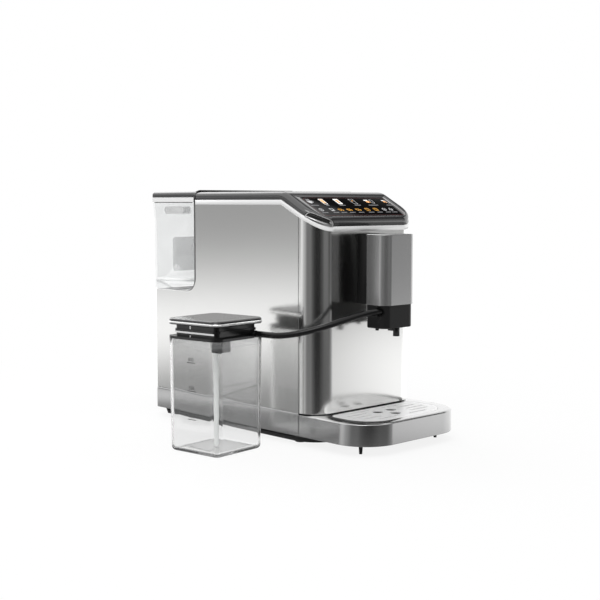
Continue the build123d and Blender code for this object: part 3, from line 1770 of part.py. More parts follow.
with BuildPart() as hopper_bowl:
    frame_block(-bowl_half, bowl_half, bowl_front, bowl_back, bowl_top - bowl_rim - bowl_wall, bowl_top)
    frame_block(
        bowl_rim - bowl_half,
        bowl_half - bowl_rim,
        bowl_front + bowl_rim,
        bowl_back - bowl_rim,
        bowl_top - bowl_rim,
        bowl_top,
        mode=Mode.SUBTRACT,
    )
    frame_block(
        -bowl_half,
        bowl_half,
        bowl_back - bowl_rim,
        lid_opening_rear - clearance,
        ledge_top - bowl_wall,
        ledge_top,
    )
    with BuildSketch(Plane.XY.offset(bowl_top - bowl_rim)):
        with Locations((0, bowl_middle)):
            Rectangle(2 * (bowl_half - bowl_rim), bowl_rear - bowl_front - bowl_rim)
    with BuildSketch(Plane.XY.offset(bowl_floor)):
        with Locations((0, grinder_y)):
            Rectangle(2 * neck_radius, 2 * neck_radius)
    loft(ruled=True)
    with BuildSketch(Plane.XY.offset(bowl_floor)):
        with Locations((0, grinder_y)):
            Circle(neck_radius)
    extrude(amount=grinder_top - bowl_floor)
    with BuildSketch(Plane.XY.offset(bowl_top - bowl_rim)):
        with Locations((0, bowl_middle)):
            Rectangle(
                2 * (bowl_half - bowl_rim - bowl_wall), bowl_rear - bowl_front - bowl_rim - 2 * bowl_wall
            )
    with BuildSketch(Plane.XY.offset(bowl_floor)):
        with Locations((0, grinder_y)):
            Rectangle(2 * (neck_radius - bowl_wall), 2 * (neck_radius - bowl_wall))
    loft(ruled=True, mode=Mode.SUBTRACT)
    with BuildSketch(Plane.XY.offset(bowl_floor)):
        with Locations((0, grinder_y)):
            Circle(neck_radius - 2 * bowl_wall)
    extrude(amount=grinder_top - bowl_floor, mode=Mode.SUBTRACT)
    with BuildSketch(Plane.XY.offset(bowl_top)):
        with Locations((dial_x, dial_y)):
            Circle(dial_shaft_radius + running_clearance)
    extrude(amount=-bowl_rim - 2 * bowl_wall, mode=Mode.SUBTRACT)
keep(hopper_bowl, "hopper_bowl")

dial_bottom = bowl_top - bowl_rim + clearance

with BuildPart() as grind_dial:
    with BuildSketch(Plane.XY.offset(dial_bottom)):
        with Locations((dial_x, dial_y)):
            Circle(dial_radius)
            with PolarLocations(dial_radius, dial_flutes):
                Circle(flute_radius, mode=Mode.SUBTRACT)
    extrude(amount=dial_height)
    with BuildSketch(Plane.XY.offset(dial_bottom)):
        with Locations((dial_x, dial_y)):
            Circle(dial_shaft_radius)
    extrude(amount=-3 * bowl_wall)
keep(grind_dial, "grind_dial")

# Water works and electronics on the left

boiler_x = -70.0
boiler_y = 96.0
boiler_bottom = 70.0
boiler_fins = 7
fin_gap = 4.0
boiler_post_radius = 4.0

with BuildPart() as thermoblock:
    with Locations((boiler_x, boiler_y, boiler_bottom)):
        Box(
            boiler_width,
            boiler_depth,
            boiler_height,
            align=(Align.CENTER, Align.CENTER, Align.MIN),
        )
    with BuildSketch(Plane.XZ.offset(-boiler_y - boiler_depth / 2)):
        with Locations((boiler_x + boiler_width / 2, boiler_bottom + boiler_height / 2)):
            with GridLocations(0, boiler_height / boiler_fins, 1, boiler_fins):
                Rectangle(2 * fin_gap, fin_gap)
    extrude(amount=boiler_depth, mode=Mode.SUBTRACT)
    with BuildSketch(Plane.XY.offset(frame_floor_top)):
        with Locations((boiler_x, boiler_y)):
            with GridLocations(boiler_width - 4 * boiler_post_radius, boiler_depth / 2, 2, 2):
                Circle(boiler_post_radius)
    extrude(amount=boiler_bottom - frame_floor_top)
keep(thermoblock, "thermoblock")

pump_x = -24.0
pump_y = 132.0
pump_axis_z = 44.0
coil_length = 34.0
coil_half = 20.0
pump_mount_length = 10.0

with BuildPart() as water_pump:
    with BuildSketch(Plane.XZ.offset(-pump_y)):
        with Locations((pump_x, pump_axis_z)):
            Circle(pump_radius / 2)
    extrude(amount=pump_length)
    frame_block(
        pump_x - coil_half,
        pump_x + coil_half,
        pump_y - coil_length - pump_mount_length,
        pump_y - pump_mount_length,
        pump_axis_z - pump_radius,
        pump_axis_z + pump_radius,
    )
    for mount_y in (pump_y - pump_mount_length, pump_y - coil_length - 2 * pump_mount_length):
        frame_block(
            pump_x - pump_radius,
            pump_x + pump_radius,
            mount_y,
            mount_y + pump_mount_length,
            frame_floor_top,
            pump_axis_z,
        )
keep(water_pump, "water_pump")

board_length = 130.0
board_height = 90.0
board_y = 105.0
board_deck_gap = 1.0
board_x = frame_wall + standoff_height - frame_half
relay_size = 16.0
board_z = deck_height - board_deck_gap - board_height / 2

with BuildPart() as control_board:
    frame_block(
        board_x,
        board_x + board_thickness,
        board_y - board_length / 2,
        board_y + board_length / 2,
        board_z,
        board_z + board_height / 2,
    )
    with BuildSketch(Plane.YZ.offset(board_x + board_thickness)):
        with Locations((board_y, board_z + board_height / 4)):
            with GridLocations(2 * relay_size, relay_size, 4, 1):
                Rectangle(relay_size, relay_size)
    extrude(amount=relay_size / 2)
    with BuildSketch(Plane.YZ.offset(board_x)):
        with Locations((board_y, board_z + board_height / 4)):
            with GridLocations(board_length - relay_size, board_height / 2 - relay_size, 2, 2):
                Circle(standoff_radius)
    extrude(amount=-standoff_height)
keep(control_board, "control_board")

inlet_flange = 2.0
inlet_depth = 20.0
socket_wall = 2.5
earth_pin_width = 4.0
pin_thickness = 2.0
pin_spacing = 7.0
pin_reach = 12.0

with BuildPart() as mains_inlet:
    with BuildSketch(Plane.XZ.offset(-body_rear)):
        with Locations((inlet_x, inlet_z)):
            RectangleRounded(inlet_width + 2 * inlet_flange, inlet_height + 2 * inlet_flange, inlet_flange)
    extrude(amount=-inlet_flange / 2)
    with BuildSketch(Plane.XZ.offset(-body_rear)):
        with Locations((inlet_x, inlet_z)):
            Rectangle(inlet_width - 2 * running_clearance, inlet_height - 2 * running_clearance)
    extrude(amount=inlet_depth)
    with BuildSketch(Plane.XZ.offset(-body_rear - inlet_flange / 2)):
        with Locations((inlet_x, inlet_z)):
            Rectangle(inlet_width - 2 * socket_wall, inlet_height - 2 * socket_wall)
    extrude(amount=inlet_depth - socket_wall, mode=Mode.SUBTRACT)
    with BuildSketch(Plane.XZ.offset(inlet_depth - socket_wall - body_rear)):
        with Locations(
            (inlet_x, inlet_z + pin_thickness),
            (inlet_x - pin_spacing, inlet_z - pin_thickness),
            (inlet_x + pin_spacing, inlet_z - pin_thickness),
        ):
            Rectangle(pin_thickness, earth_pin_width)
    extrude(amount=-pin_reach)
keep(mains_inlet, "mains_inlet")
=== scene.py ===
# %% [markdown]
# # A bean to cup coffee machine, dressed for its picture
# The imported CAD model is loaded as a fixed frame: every solid already lies where it belongs, in metres,
# with the table at Z = 0 and the user at -Y. This lesson adds what a CAD kernel leaves out: the hose's
# soft line, the lit icons of the display, printed marks, softened edges, and a finish for every surface.

# %% Load the frame
import math

import bpy
from mathutils import Matrix, Vector


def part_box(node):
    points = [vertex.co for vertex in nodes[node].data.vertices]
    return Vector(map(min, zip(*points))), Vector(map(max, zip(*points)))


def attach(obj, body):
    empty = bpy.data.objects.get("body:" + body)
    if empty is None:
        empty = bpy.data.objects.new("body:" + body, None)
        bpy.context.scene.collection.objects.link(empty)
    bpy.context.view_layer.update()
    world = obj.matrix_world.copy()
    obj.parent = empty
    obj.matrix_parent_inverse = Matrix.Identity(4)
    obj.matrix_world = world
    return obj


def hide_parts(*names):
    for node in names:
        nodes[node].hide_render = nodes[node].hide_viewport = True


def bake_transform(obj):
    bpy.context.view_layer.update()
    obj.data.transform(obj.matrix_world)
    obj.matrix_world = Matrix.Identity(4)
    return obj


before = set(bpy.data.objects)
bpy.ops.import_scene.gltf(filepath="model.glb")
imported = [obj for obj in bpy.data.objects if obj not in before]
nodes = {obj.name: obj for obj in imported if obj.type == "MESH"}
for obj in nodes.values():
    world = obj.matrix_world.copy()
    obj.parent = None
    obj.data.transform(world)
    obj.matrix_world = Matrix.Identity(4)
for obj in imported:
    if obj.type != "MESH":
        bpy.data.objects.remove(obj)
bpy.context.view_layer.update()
scene = bpy.context.scene

# %% [markdown]
# The machine was drawn in millimetres about its own centre plane (X = 0) and the seam between side panel
# and front shell (Y = 0). Both can be read back from the frame, so places can be written in the same
# numbers as the drawing.

# %% A place written in the drawing's millimetres
MM = 0.001
SEAM_GAP = 0.3
shell_low, shell_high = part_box("front_shell")
centre_x = (shell_low[0] + shell_high[0]) / 2
seam_y = shell_high[1] + SEAM_GAP * MM


def place(x, y, z):
    """A point of the drawing, in the row frame, in metres."""
    return Vector((centre_x + x * MM, seam_y + y * MM, z * MM))


print("centre plane", round(centre_x, 5), "seam", round(seam_y, 5))

# %% [markdown]
# ## Camera
# The picture was taken from the front left, 44 degrees off the axis and 5 degrees above the horizon. A
# fit of the housing's edges gave the camera's place and its lens, and the camera is set there first,
# because everything that follows is judged through it.

# %% Camera
LENS_MM = 67.81
SENSOR_MM = 36.0
CAMERA_PLACE = place(-1102.03, -1042.38, 316.57)
LOOK = Vector((0.69207, 0.71659, -0.08664))
camera_data = bpy.data.cameras.new("photo_camera")
camera_data.lens = LENS_MM
camera_data.sensor_width = SENSOR_MM
camera = bpy.data.objects.new("photo_camera", camera_data)
camera.location = CAMERA_PLACE
camera.rotation_euler = LOOK.to_track_quat("-Z", "Y").to_euler()
scene.collection.objects.link(camera)
scene.camera = camera
print("camera at", [round(c, 4) for c in camera.location])


# %% Small helpers for the operators
def clear_selection():
    """Leave edit mode and deselect everything, so that operators act on one piece only."""
    if bpy.context.object and bpy.context.object.mode != "OBJECT":
        bpy.ops.object.mode_set(mode="OBJECT")
    bpy.ops.object.select_all(action="DESELECT")


def pick(piece):
    """Make one object the selected and active one."""
    clear_selection()
    piece.select_set(True)
    bpy.context.view_layer.objects.active = piece


def settle(piece):
    """Move the object's place into its mesh, so that the object itself lies at the origin."""
    pick(piece)
    bpy.ops.object.transform_apply(location=True, rotation=True, scale=True)


def fuse(pieces, name):
    """Join several objects into the first one and name it."""
    clear_selection()
    for piece in pieces:
        piece.select_set(True)
    bpy.context.view_layer.objects.active = pieces[0]
    bpy.ops.object.join()
    pieces[0].name = name
    return pieces[0]


def ride(piece, body):
    """The piece moves with a body."""
    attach(piece, body)


# %% [markdown]
# ## The milk hose
# A black silicone hose, 8 mm thick, leaves the nipple on the jug's lid, sags a little, and climbs to the
# port in the left side of the spout. It is drawn as one smooth line along the same points as the CAD tube,
# in two stretches that meet face to face.

# %% Milk hose
HOSE_RADIUS = 0.004
HOSE_SMOOTH = math.radians(50)
HOSE_SPLIT = place(-71.0, -71.1, 171.5)
NIPPLE_END = place(-151.427, 21.742, 149.4)
HOSE_TO_JUG = [
    NIPPLE_END,
    place(-149.842, 7.832, 149.4),
    place(-144.0, -14.0, 148.9),
    place(-129.0, -37.5, 153.4),
    place(-107.0, -55.5, 160.7),
    place(-82.0, -67.6, 168.7),
    HOSE_SPLIT,
]
HOSE_TO_SPOUT = [
    HOSE_SPLIT,
    place(-60.0, -74.6, 174.3),
    place(-42.0, -77.5, 176.0),
    place(-25.7, -77.5, 176.0),
]


def smooth_line(name, points, thickness):
    """A NURBS curve through control points, round in section where thickness isn't zero."""
    data = bpy.data.curves.new(name, "CURVE")
    data.dimensions = "3D"
    data.resolution_u = 12
    data.bevel_depth = thickness
    data.bevel_resolution = 5
    data.use_fill_caps = True
    spline = data.splines.new("NURBS")
    spline.points.add(len(points) - 1)
    for point, corner in zip(spline.points, points):
        point.co = (corner.x, corner.y, corner.z, 1)
    spline.order_u = 3
    spline.use_endpoint_u = True
    curve = bpy.data.objects.new(name, data)
    scene.collection.objects.link(curve)
    return curve


def line_points(points):
    """The points that Blender itself reads along the smooth line."""
    bare = smooth_line("bare_line", points, 0)
    bpy.context.view_layer.update()
    evaluated = bare.evaluated_get(bpy.context.evaluated_depsgraph_get())
    sampled = bpy.data.meshes.new_from_object(evaluated)
    along = [vertex.co.copy() for vertex in sampled.vertices]
    bpy.data.objects.remove(bare)
    bpy.data.meshes.remove(sampled)
    return along


def hose_stretch(name, points):
    """One stretch of hose as a mesh tube, with the points that it follows."""
    curve = smooth_line(name + "_line", points, HOSE_RADIUS)
    bpy.context.view_layer.update()
    evaluated = curve.evaluated_get(bpy.context.evaluated_depsgraph_get())
    tube = bpy.data.objects.new(name, bpy.data.meshes.new_from_object(evaluated))
    scene.collection.objects.link(tube)
    bpy.data.objects.remove(curve)
    pick(tube)
    bpy.ops.object.shade_smooth_by_angle(angle=HOSE_SMOOTH)
    path = line_points(points)
    length = sum((b - a).length for a, b in zip(path, path[1:]))
    print(name, "length", round(length, 4), "vertices", len(tube.data.vertices))
    return tube, path


hose_jug, jug_path = hose_stretch("hose_from_jug", HOSE_TO_JUG)
hose_spout, spout_path = hose_stretch("hose_to_spout", HOSE_TO_SPOUT)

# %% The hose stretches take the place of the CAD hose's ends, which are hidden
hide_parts("milk_hose_jug_end")
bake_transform(hose_jug)
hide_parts("milk_hose_spout_end")
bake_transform(hose_spout)

# %% [markdown]
# ## Studio
# The camera sees a white floor in a white room. Satin metal only shows what it mirrors, so what glossy
# rays meet is planned by direction instead. To the left lies a bright floor under a grey wall, and between
# them the side panel fades from dark above to bright below. In front, a grey wall ends in an edge above
# another bright floor. Narrow strips between the two shade the rounded corner, a light box leans over the
# machine, and the wall behind it is white, but greyer toward the floor.


# %% Node helpers
def new_material(name):
    """An empty node material and its node tree."""
    material = bpy.data.materials.new(name)
    material.use_nodes = True
    material.node_tree.nodes.clear()
    return material, material.node_tree


def node(tree, kind, **values):
    """Add one node, set its properties, or its input sockets where the name is one of theirs."""
    made = tree.nodes.new(kind)
    for key, value in values.items():
        if hasattr(made, key):
            setattr(made, key, value)
        else:
            made.inputs[key.replace("_", " ")].default_value = value
    return made


def ramp(tree, source, stops):
    """A colour ramp of greys: stops are (place, grey)."""
    made = tree.nodes.new("ShaderNodeValToRGB")
    made.color_ramp.interpolation = "EASE"
    elements = made.color_ramp.elements
    while len(elements) < len(stops):
        elements.new(0.5)
    for element, (at, grey) in zip(elements, stops):
        element.position = at
        element.color = (grey, grey, grey, 1)
    tree.links.new(source, made.inputs["Fac"])
    return made.outputs["Color"]


def math_node(tree, operation, first, second):
    """One Math node on two sockets or numbers."""
    made = tree.nodes.new("ShaderNodeMath")
    made.operation = operation
    for slot_number, value in enumerate((first, second)):
        if isinstance(value, (int, float)):
            made.inputs[slot_number].default_value = value
        else:
            tree.links.new(value, made.inputs[slot_number])
    return made.outputs[0]


# %% World, as glossy rays see it
TOWARD_DARK = (0.69, -0.72)
TOWARD_BACK = (0.69, 0.72)
LEVEL_REACH = 0.3
LOW_FLOOR_GREY = 0.28
LIGHT_BOX_LEAN = 0.8
world = bpy.data.worlds.new("studio")
scene.world = world
world.use_nodes = True
sky = world.node_tree
sky.nodes.clear()
direction = node(sky, "ShaderNodeTexCoord")
split = node(sky, "ShaderNodeSeparateXYZ")
sky.links.new(direction.outputs["Generated"], split.inputs[0])


def plus(first, second):
    """The sum of two values of the world."""
    return math_node(sky, "ADD", first, second)


def times(first, second):
    """The product of two values of the world."""
    return math_node(sky, "MULTIPLY", first, second)


def as_share(value):
    """A value from -1 to 1 made a share from 0 to 1."""
    return plus(times(value, 0.5), 0.5)


def share_along(x_part, y_part):
    """How far the direction points along a level heading, from 0 for away to 1 for straight along."""
    return as_share(plus(times(split.outputs["X"], x_part), times(split.outputs["Y"], y_part)))


def blend_greys(factor, first, second):
    """Mix two greys by a factor."""
    made = node(sky, "ShaderNodeMix", data_type="RGBA")
    for name_of, value in (("Factor", factor), ("A", first), ("B", second)):
        if isinstance(value, (int, float)):
            made.inputs[name_of].default_value = (value, value, value, 1)
        else:
            sky.links.new(value, made.inputs[name_of])
    return made.outputs["Result"]


round_the_corner = share_along(*TOWARD_DARK)
backward = share_along(*TOWARD_BACK)
level = math_node(sky, "DIVIDE", plus(split.outputs["Z"], LEVEL_REACH), 2 * LEVEL_REACH)
corner_strips = ramp(sky, round_the_corner, [
    (0.0, 0.60), (0.03, 0.66), (0.09, 0.34), (0.19, 0.12), (0.31, 0.12), (0.42, 0.04), (0.53, 0.004),
    (0.66, 0.004), (0.77, 0.04), (0.86, 0.12), (0.94, 0.12), (0.975, 0.05),
])
side_floor = ramp(sky, level, [
    (0.08, 0.12), (0.232, 0.08), (0.285, 0.90), (0.318, 1.0), (0.345, 0.90), (0.375, 0.62), (0.41, 0.36),
    (0.46, 0.22), (0.54, 0.26), (0.80, 0.50),
])
front_wall = ramp(sky, level, [
    (0.08, 0.34), (0.17, 0.90), (0.25, 1.0), (0.31, 1.0), (0.345, 0.38), (0.60, 0.34), (1.0, 0.30),
])
on_the_side = ramp(sky, round_the_corner, [(0.010, 1.0), (0.028, 0.0)])
toward_the_front = ramp(sky, round_the_corner, [(0.66, 0.0), (0.98, 1.0)])
under_the_edge = ramp(sky, level, [(0.28, 1.0), (0.36, 0.0)])
past_the_corner = ramp(sky, round_the_corner, [(0.974, 0.0), (0.989, 1.0)])
on_the_front = math_node(sky, "MAXIMUM", past_the_corner, times(toward_the_front, under_the_edge))
front_fade = ramp(sky, backward, [(0.10, 0.04), (0.30, 0.10), (0.478, 0.36), (0.492, 0.60), (0.524, 1.0)])
low_floor = ramp(sky, level, [(0.02, 1.0), (0.14, 0.0)])
high_up = ramp(sky, level, [(0.70, 0.0), (0.98, 1.0)])
box_height = math_node(sky, "SUBTRACT", split.outputs["Z"], times(split.outputs["X"], LIGHT_BOX_LEAN))
ceiling = ramp(sky, as_share(box_height), [
    (0.20, 0.02), (0.504, 0.01), (0.516, 0.20), (0.545, 0.34), (0.60, 0.80), (1.0, 0.90),
])
below_top = ramp(sky, split.outputs["Z"], [(0.42, 1.0), (0.56, 0.0)])
is_back = times(ramp(sky, backward, [(0.61, 0.0), (0.68, 1.0)]), below_top)
side_and_corner = blend_greys(on_the_side, corner_strips, side_floor)
round_walls = blend_greys(on_the_front, side_and_corner, times(front_wall, front_fade))
with_floor = blend_greys(low_floor, round_walls, LOW_FLOOR_GREY)
with_ceiling = blend_greys(high_up, with_floor, ceiling)
back_wall = ramp(sky, level, [(0.04, 0.34), (0.22, 1.0)])
gloss_room = blend_greys(is_back, with_ceiling, back_wall)

# %% [markdown]
# The camera's own rays meet plain white. So do rays that have passed a clear wall, except where the wall
# has bent them toward the front right: it is dark there, which draws the jug's dark edges. All the other
# rays meet an even white fill, and a ray that a glossy surface has turned back stays in the mirrored room.

# %% World, as the other rays see it
ROOM_STRENGTH = 1.30
FILL_STRENGTH = 0.75
TOWARD_SHADE = (0.72, -0.69)
paths = node(sky, "ShaderNodeLightPath")
seen_gloss = node(sky, "ShaderNodeBackground", Strength=ROOM_STRENGTH)
sky.links.new(gloss_room, seen_gloss.inputs["Color"])
seen_fill = node(sky, "ShaderNodeBackground", Color=(1, 1, 1, 1), Strength=FILL_STRENGTH)
shade = ramp(sky, share_along(*TOWARD_SHADE), [(0.54, 1.0), (0.64, 0.05)])
seen_white = node(sky, "ShaderNodeBackground", Strength=1.0)
white_or_shade = blend_greys(paths.outputs["Is Transmission Ray"], 1.0, shade)
sky.links.new(white_or_shade, seen_white.inputs["Color"])
with_gloss = node(sky, "ShaderNodeMixShader")
in_mirror = math_node(sky, "MINIMUM", paths.outputs["Glossy Depth"], 1.0)
sky.links.new(in_mirror, with_gloss.inputs[0])
sky.links.new(seen_fill.outputs[0], with_gloss.inputs[1])
sky.links.new(seen_gloss.outputs[0], with_gloss.inputs[2])
with_white = node(sky, "ShaderNodeMixShader")
seen_clear = times(paths.outputs["Is Transmission Ray"], math_node(sky, "SUBTRACT", 1.0, in_mirror))
white_rays = math_node(sky, "MAXIMUM", paths.outputs["Is Camera Ray"], seen_clear)
sky.links.new(white_rays, with_white.inputs[0])
sky.links.new(with_gloss.outputs[0], with_white.inputs[1])
sky.links.new(seen_white.outputs[0], with_white.inputs[2])
world_out = node(sky, "ShaderNodeOutputWorld")
sky.links.new(with_white.outputs[0], world_out.inputs[0])

# %% [markdown]
# The floor takes the object's shadow close by and fades to pure white further out. Rays that come from a
# mirroring surface pass through it, because the mirrored room has a floor of its own.

# %% Floor
FLOOR_HALF = 6.0
FLOOR_DROP = 0.0002
floor_material, floor_tree = new_material("floor_paint")
floor_where = node(floor_tree, "ShaderNodeTexCoord")
floor_far = node(floor_tree, "ShaderNodeVectorMath", operation="LENGTH")
floor_tree.links.new(floor_where.outputs["Object"], floor_far.inputs[0])
distance_share = math_node(floor_tree, "DIVIDE", floor_far.outputs["Value"], FLOOR_HALF)
floor_whiteness = ramp(floor_tree, distance_share, [(0.04, 0.86), (0.14, 1.0)])
floor_paint = node(floor_tree, "ShaderNodeBsdfDiffuse", Color=(0.92, 0.92, 0.92, 1))
floor_white = node(floor_tree, "ShaderNodeEmission", Color=(1, 1, 1, 1), Strength=1.0)
floor_camera = node(floor_tree, "ShaderNodeMixShader")
floor_tree.links.new(floor_whiteness, floor_camera.inputs[0])
floor_tree.links.new(floor_paint.outputs[0], floor_camera.inputs[1])
floor_tree.links.new(floor_white.outputs[0], floor_camera.inputs[2])
floor_paths = node(floor_tree, "ShaderNodeLightPath")
floor_open = node(floor_tree, "ShaderNodeBsdfTransparent")
floor_all = node(floor_tree, "ShaderNodeMixShader")
floor_in_mirror = math_node(floor_tree, "MINIMUM", floor_paths.outputs["Glossy Depth"], 1.0)
floor_tree.links.new(floor_in_mirror, floor_all.inputs[0])
floor_tree.links.new(floor_camera.outputs[0], floor_all.inputs[1])
floor_tree.links.new(floor_open.outputs[0], floor_all.inputs[2])
floor_out = node(floor_tree, "ShaderNodeOutputMaterial")
floor_tree.links.new(floor_all.outputs[0], floor_out.inputs[0])

clear_selection()
bpy.ops.mesh.primitive_plane_add(size=2 * FLOOR_HALF, location=(0, 0, -FLOOR_DROP))
floor = bpy.context.object
floor.name = "studio_floor"
floor.data.materials.append(floor_material)


# %% Lamps
LIT_POINT = Vector((0, 0, 0.16))


def soft_lamp(name, at, size, watts):
    """A square area lamp that looks at the machine's middle."""
    data = bpy.data.lights.new(name, "AREA")
    data.size = size
    data.energy = watts
    lamp = bpy.data.objects.new(name, data)
    lamp.location = at
    lamp.rotation_euler = (LIT_POINT - Vector(at)).to_track_quat("-Z", "Y").to_euler()
    scene.collection.objects.link(lamp)


soft_lamp("key_lamp", (-1.3, -0.9, 2.2), 1.4, 20)
soft_lamp("rear_lamp", (0.3, 1.7, 1.7), 1.6, 16)
scene.view_settings.view_transform = "Standard"

# %% [markdown]
# ## Finishes
# There is one finish for each surface a hand would tell apart. Each carries a faint drift of tone, and
# most a fine grain too, both from noise on the piece's own coordinates, so that no surface is one flat
# colour.


# %% A finish with grain
def finish(name, color, metallic=0.0, roughness=0.4, grain=0.0, grain_scale=800.0, stretch=(1, 1, 1),
           bump=0.0, coat=0.0, coat_roughness=0.05, shade=0.06, specular=0.5, ior=1.5):
    """A principled surface whose roughness, colour and relief carry a fine noise."""
    material, tree = new_material(name)
    shader = node(tree, "ShaderNodeBsdfPrincipled", Metallic=metallic, IOR=ior)
    shader.inputs["Base Color"].default_value = (*color, 1)
    shader.inputs["Roughness"].default_value = roughness
    shader.inputs["Coat Weight"].default_value = coat
    shader.inputs["Coat Roughness"].default_value = coat_roughness
    shader.inputs["Specular IOR Level"].default_value = specular
    where = node(tree, "ShaderNodeTexCoord")
    turn = node(tree, "ShaderNodeMapping")
    turn.inputs["Scale"].default_value = stretch
    tree.links.new(where.outputs["Object"], turn.inputs["Vector"])
    noise = node(tree, "ShaderNodeTexNoise", Scale=grain_scale, Detail=3.0, Roughness=0.6)
    tree.links.new(turn.outputs[0], noise.inputs["Vector"])
    if grain > 0:
        low, high = max(0.02, roughness - grain), roughness + grain
        spread = node(tree, "ShaderNodeMapRange")
        spread.inputs["To Min"].default_value = low
        spread.inputs["To Max"].default_value = high
        tree.links.new(noise.outputs["Fac"], spread.inputs["Value"])
        tree.links.new(spread.outputs[0], shader.inputs["Roughness"])
    if shade > 0:
        cloud = node(tree, "ShaderNodeTexNoise", Scale=9.0, Detail=2.0)
        tree.links.new(where.outputs["Object"], cloud.inputs["Vector"])
        tone = node(tree, "ShaderNodeMix", data_type="RGBA")
        tone.inputs["A"].default_value = (*[c * (1 - shade) for c in color], 1)
        tone.inputs["B"].default_value = (*[min(1, c * (1 + shade)) for c in color], 1)
        tree.links.new(cloud.outputs["Fac"], tone.inputs["Factor"])
        tree.links.new(tone.outputs["Result"], shader.inputs["Base Color"])
    if bump > 0:
        relief = node(tree, "ShaderNodeBump", Strength=bump, Distance=0.0002)
        tree.links.new(noise.outputs["Fac"], relief.inputs["Height"])
        tree.links.new(relief.outputs[0], shader.inputs["Normal"])
    out = node(tree, "ShaderNodeOutputMaterial")
    tree.links.new(shader.outputs[0], out.inputs[0])
    return material


silver = finish("satin_silver", (0.87, 0.87, 0.86), metallic=1.0, roughness=0.155, grain=0.015,
                grain_scale=1500.0, shade=0.01, bump=0.01)
silver_base = finish("satin_silver_base", (0.52, 0.52, 0.52), metallic=1.0, roughness=0.18, grain=0.02,
                     grain_scale=1500.0, shade=0.01, bump=0.015)
spout_silver = finish("satin_spout_cover", (0.40, 0.40, 0.40), metallic=0.80, roughness=0.20, grain=0.03,
                      grain_scale=1500.0, shade=0.01, bump=0.015)
bright_trim = finish("bright_trim", (0.86, 0.86, 0.86), metallic=0.15, roughness=0.25, shade=0.01)
dark_cover = finish("dark_cover", (0.030, 0.030, 0.031), roughness=0.11, grain=0.02, shade=0.03, ior=1.9)
chrome_band = finish("chrome_band", (0.92, 0.92, 0.92), metallic=1.0, roughness=0.08, shade=0.01)
black_gloss = finish("black_gloss", (0.006, 0.006, 0.006), roughness=0.12, coat=0.5, shade=0.03)
black_matte = finish("black_matte", (0.006, 0.006, 0.0062), roughness=0.40, grain=0.08, bump=0.12,
                     shade=0.08, specular=0.3)
glass_panel = finish("display_panel", (0.004, 0.0035, 0.004), roughness=0.04, coat=0.3,
                     coat_roughness=0.02, shade=0.03)
rubber = finish("foot_rubber", (0.012, 0.012, 0.012), roughness=0.75, grain=0.08, bump=0.25, shade=0.1)
hose_rubber = finish("hose_silicone", (0.004, 0.004, 0.004), roughness=0.22, grain=0.05, bump=0.05,
                     shade=0.08, specular=0.3)
steel = finish("plain_steel", (0.56, 0.56, 0.56), metallic=1.0, roughness=0.3, grain=0.06, shade=0.05)
grate_steel = finish("brushed_grate", (0.92, 0.92, 0.92), metallic=0.15, roughness=0.38, grain=0.05,
                     grain_scale=500.0, stretch=(0.04, 1, 1), bump=0.03, shade=0.03)
board_green = finish("board_laminate", (0.03, 0.14, 0.06), roughness=0.45, grain=0.1, shade=0.2)
grey_plastic = finish("grey_plastic", (0.34, 0.34, 0.35), roughness=0.45, grain=0.06, bump=0.1, shade=0.05)
white_tube = finish("white_tube", (0.86, 0.86, 0.85), roughness=0.35, grain=0.05, shade=0.03)
neck_black = finish("neck_black", (0.007, 0.007, 0.007), roughness=0.18, grain=0.04, shade=0.05)
cast_aluminium = finish("cast_aluminium", (0.55, 0.55, 0.55), metallic=1.0, roughness=0.5, grain=0.12,
                        grain_scale=300.0, bump=0.3, shade=0.08)


# %% [markdown]
# Clear plastic is the hard one. A thin wall bends light so little that what lies behind it stays in place,
# yet its surface still mirrors the room, and its edges look grey because light runs through more of it
# there. So the body hardly refracts, a clear coat carries the gloss, and the tint deepens where the wall
# turns away. The frosted pieces stand behind such walls and let light straight through, because light that
# is bent many times over comes out far too dark.


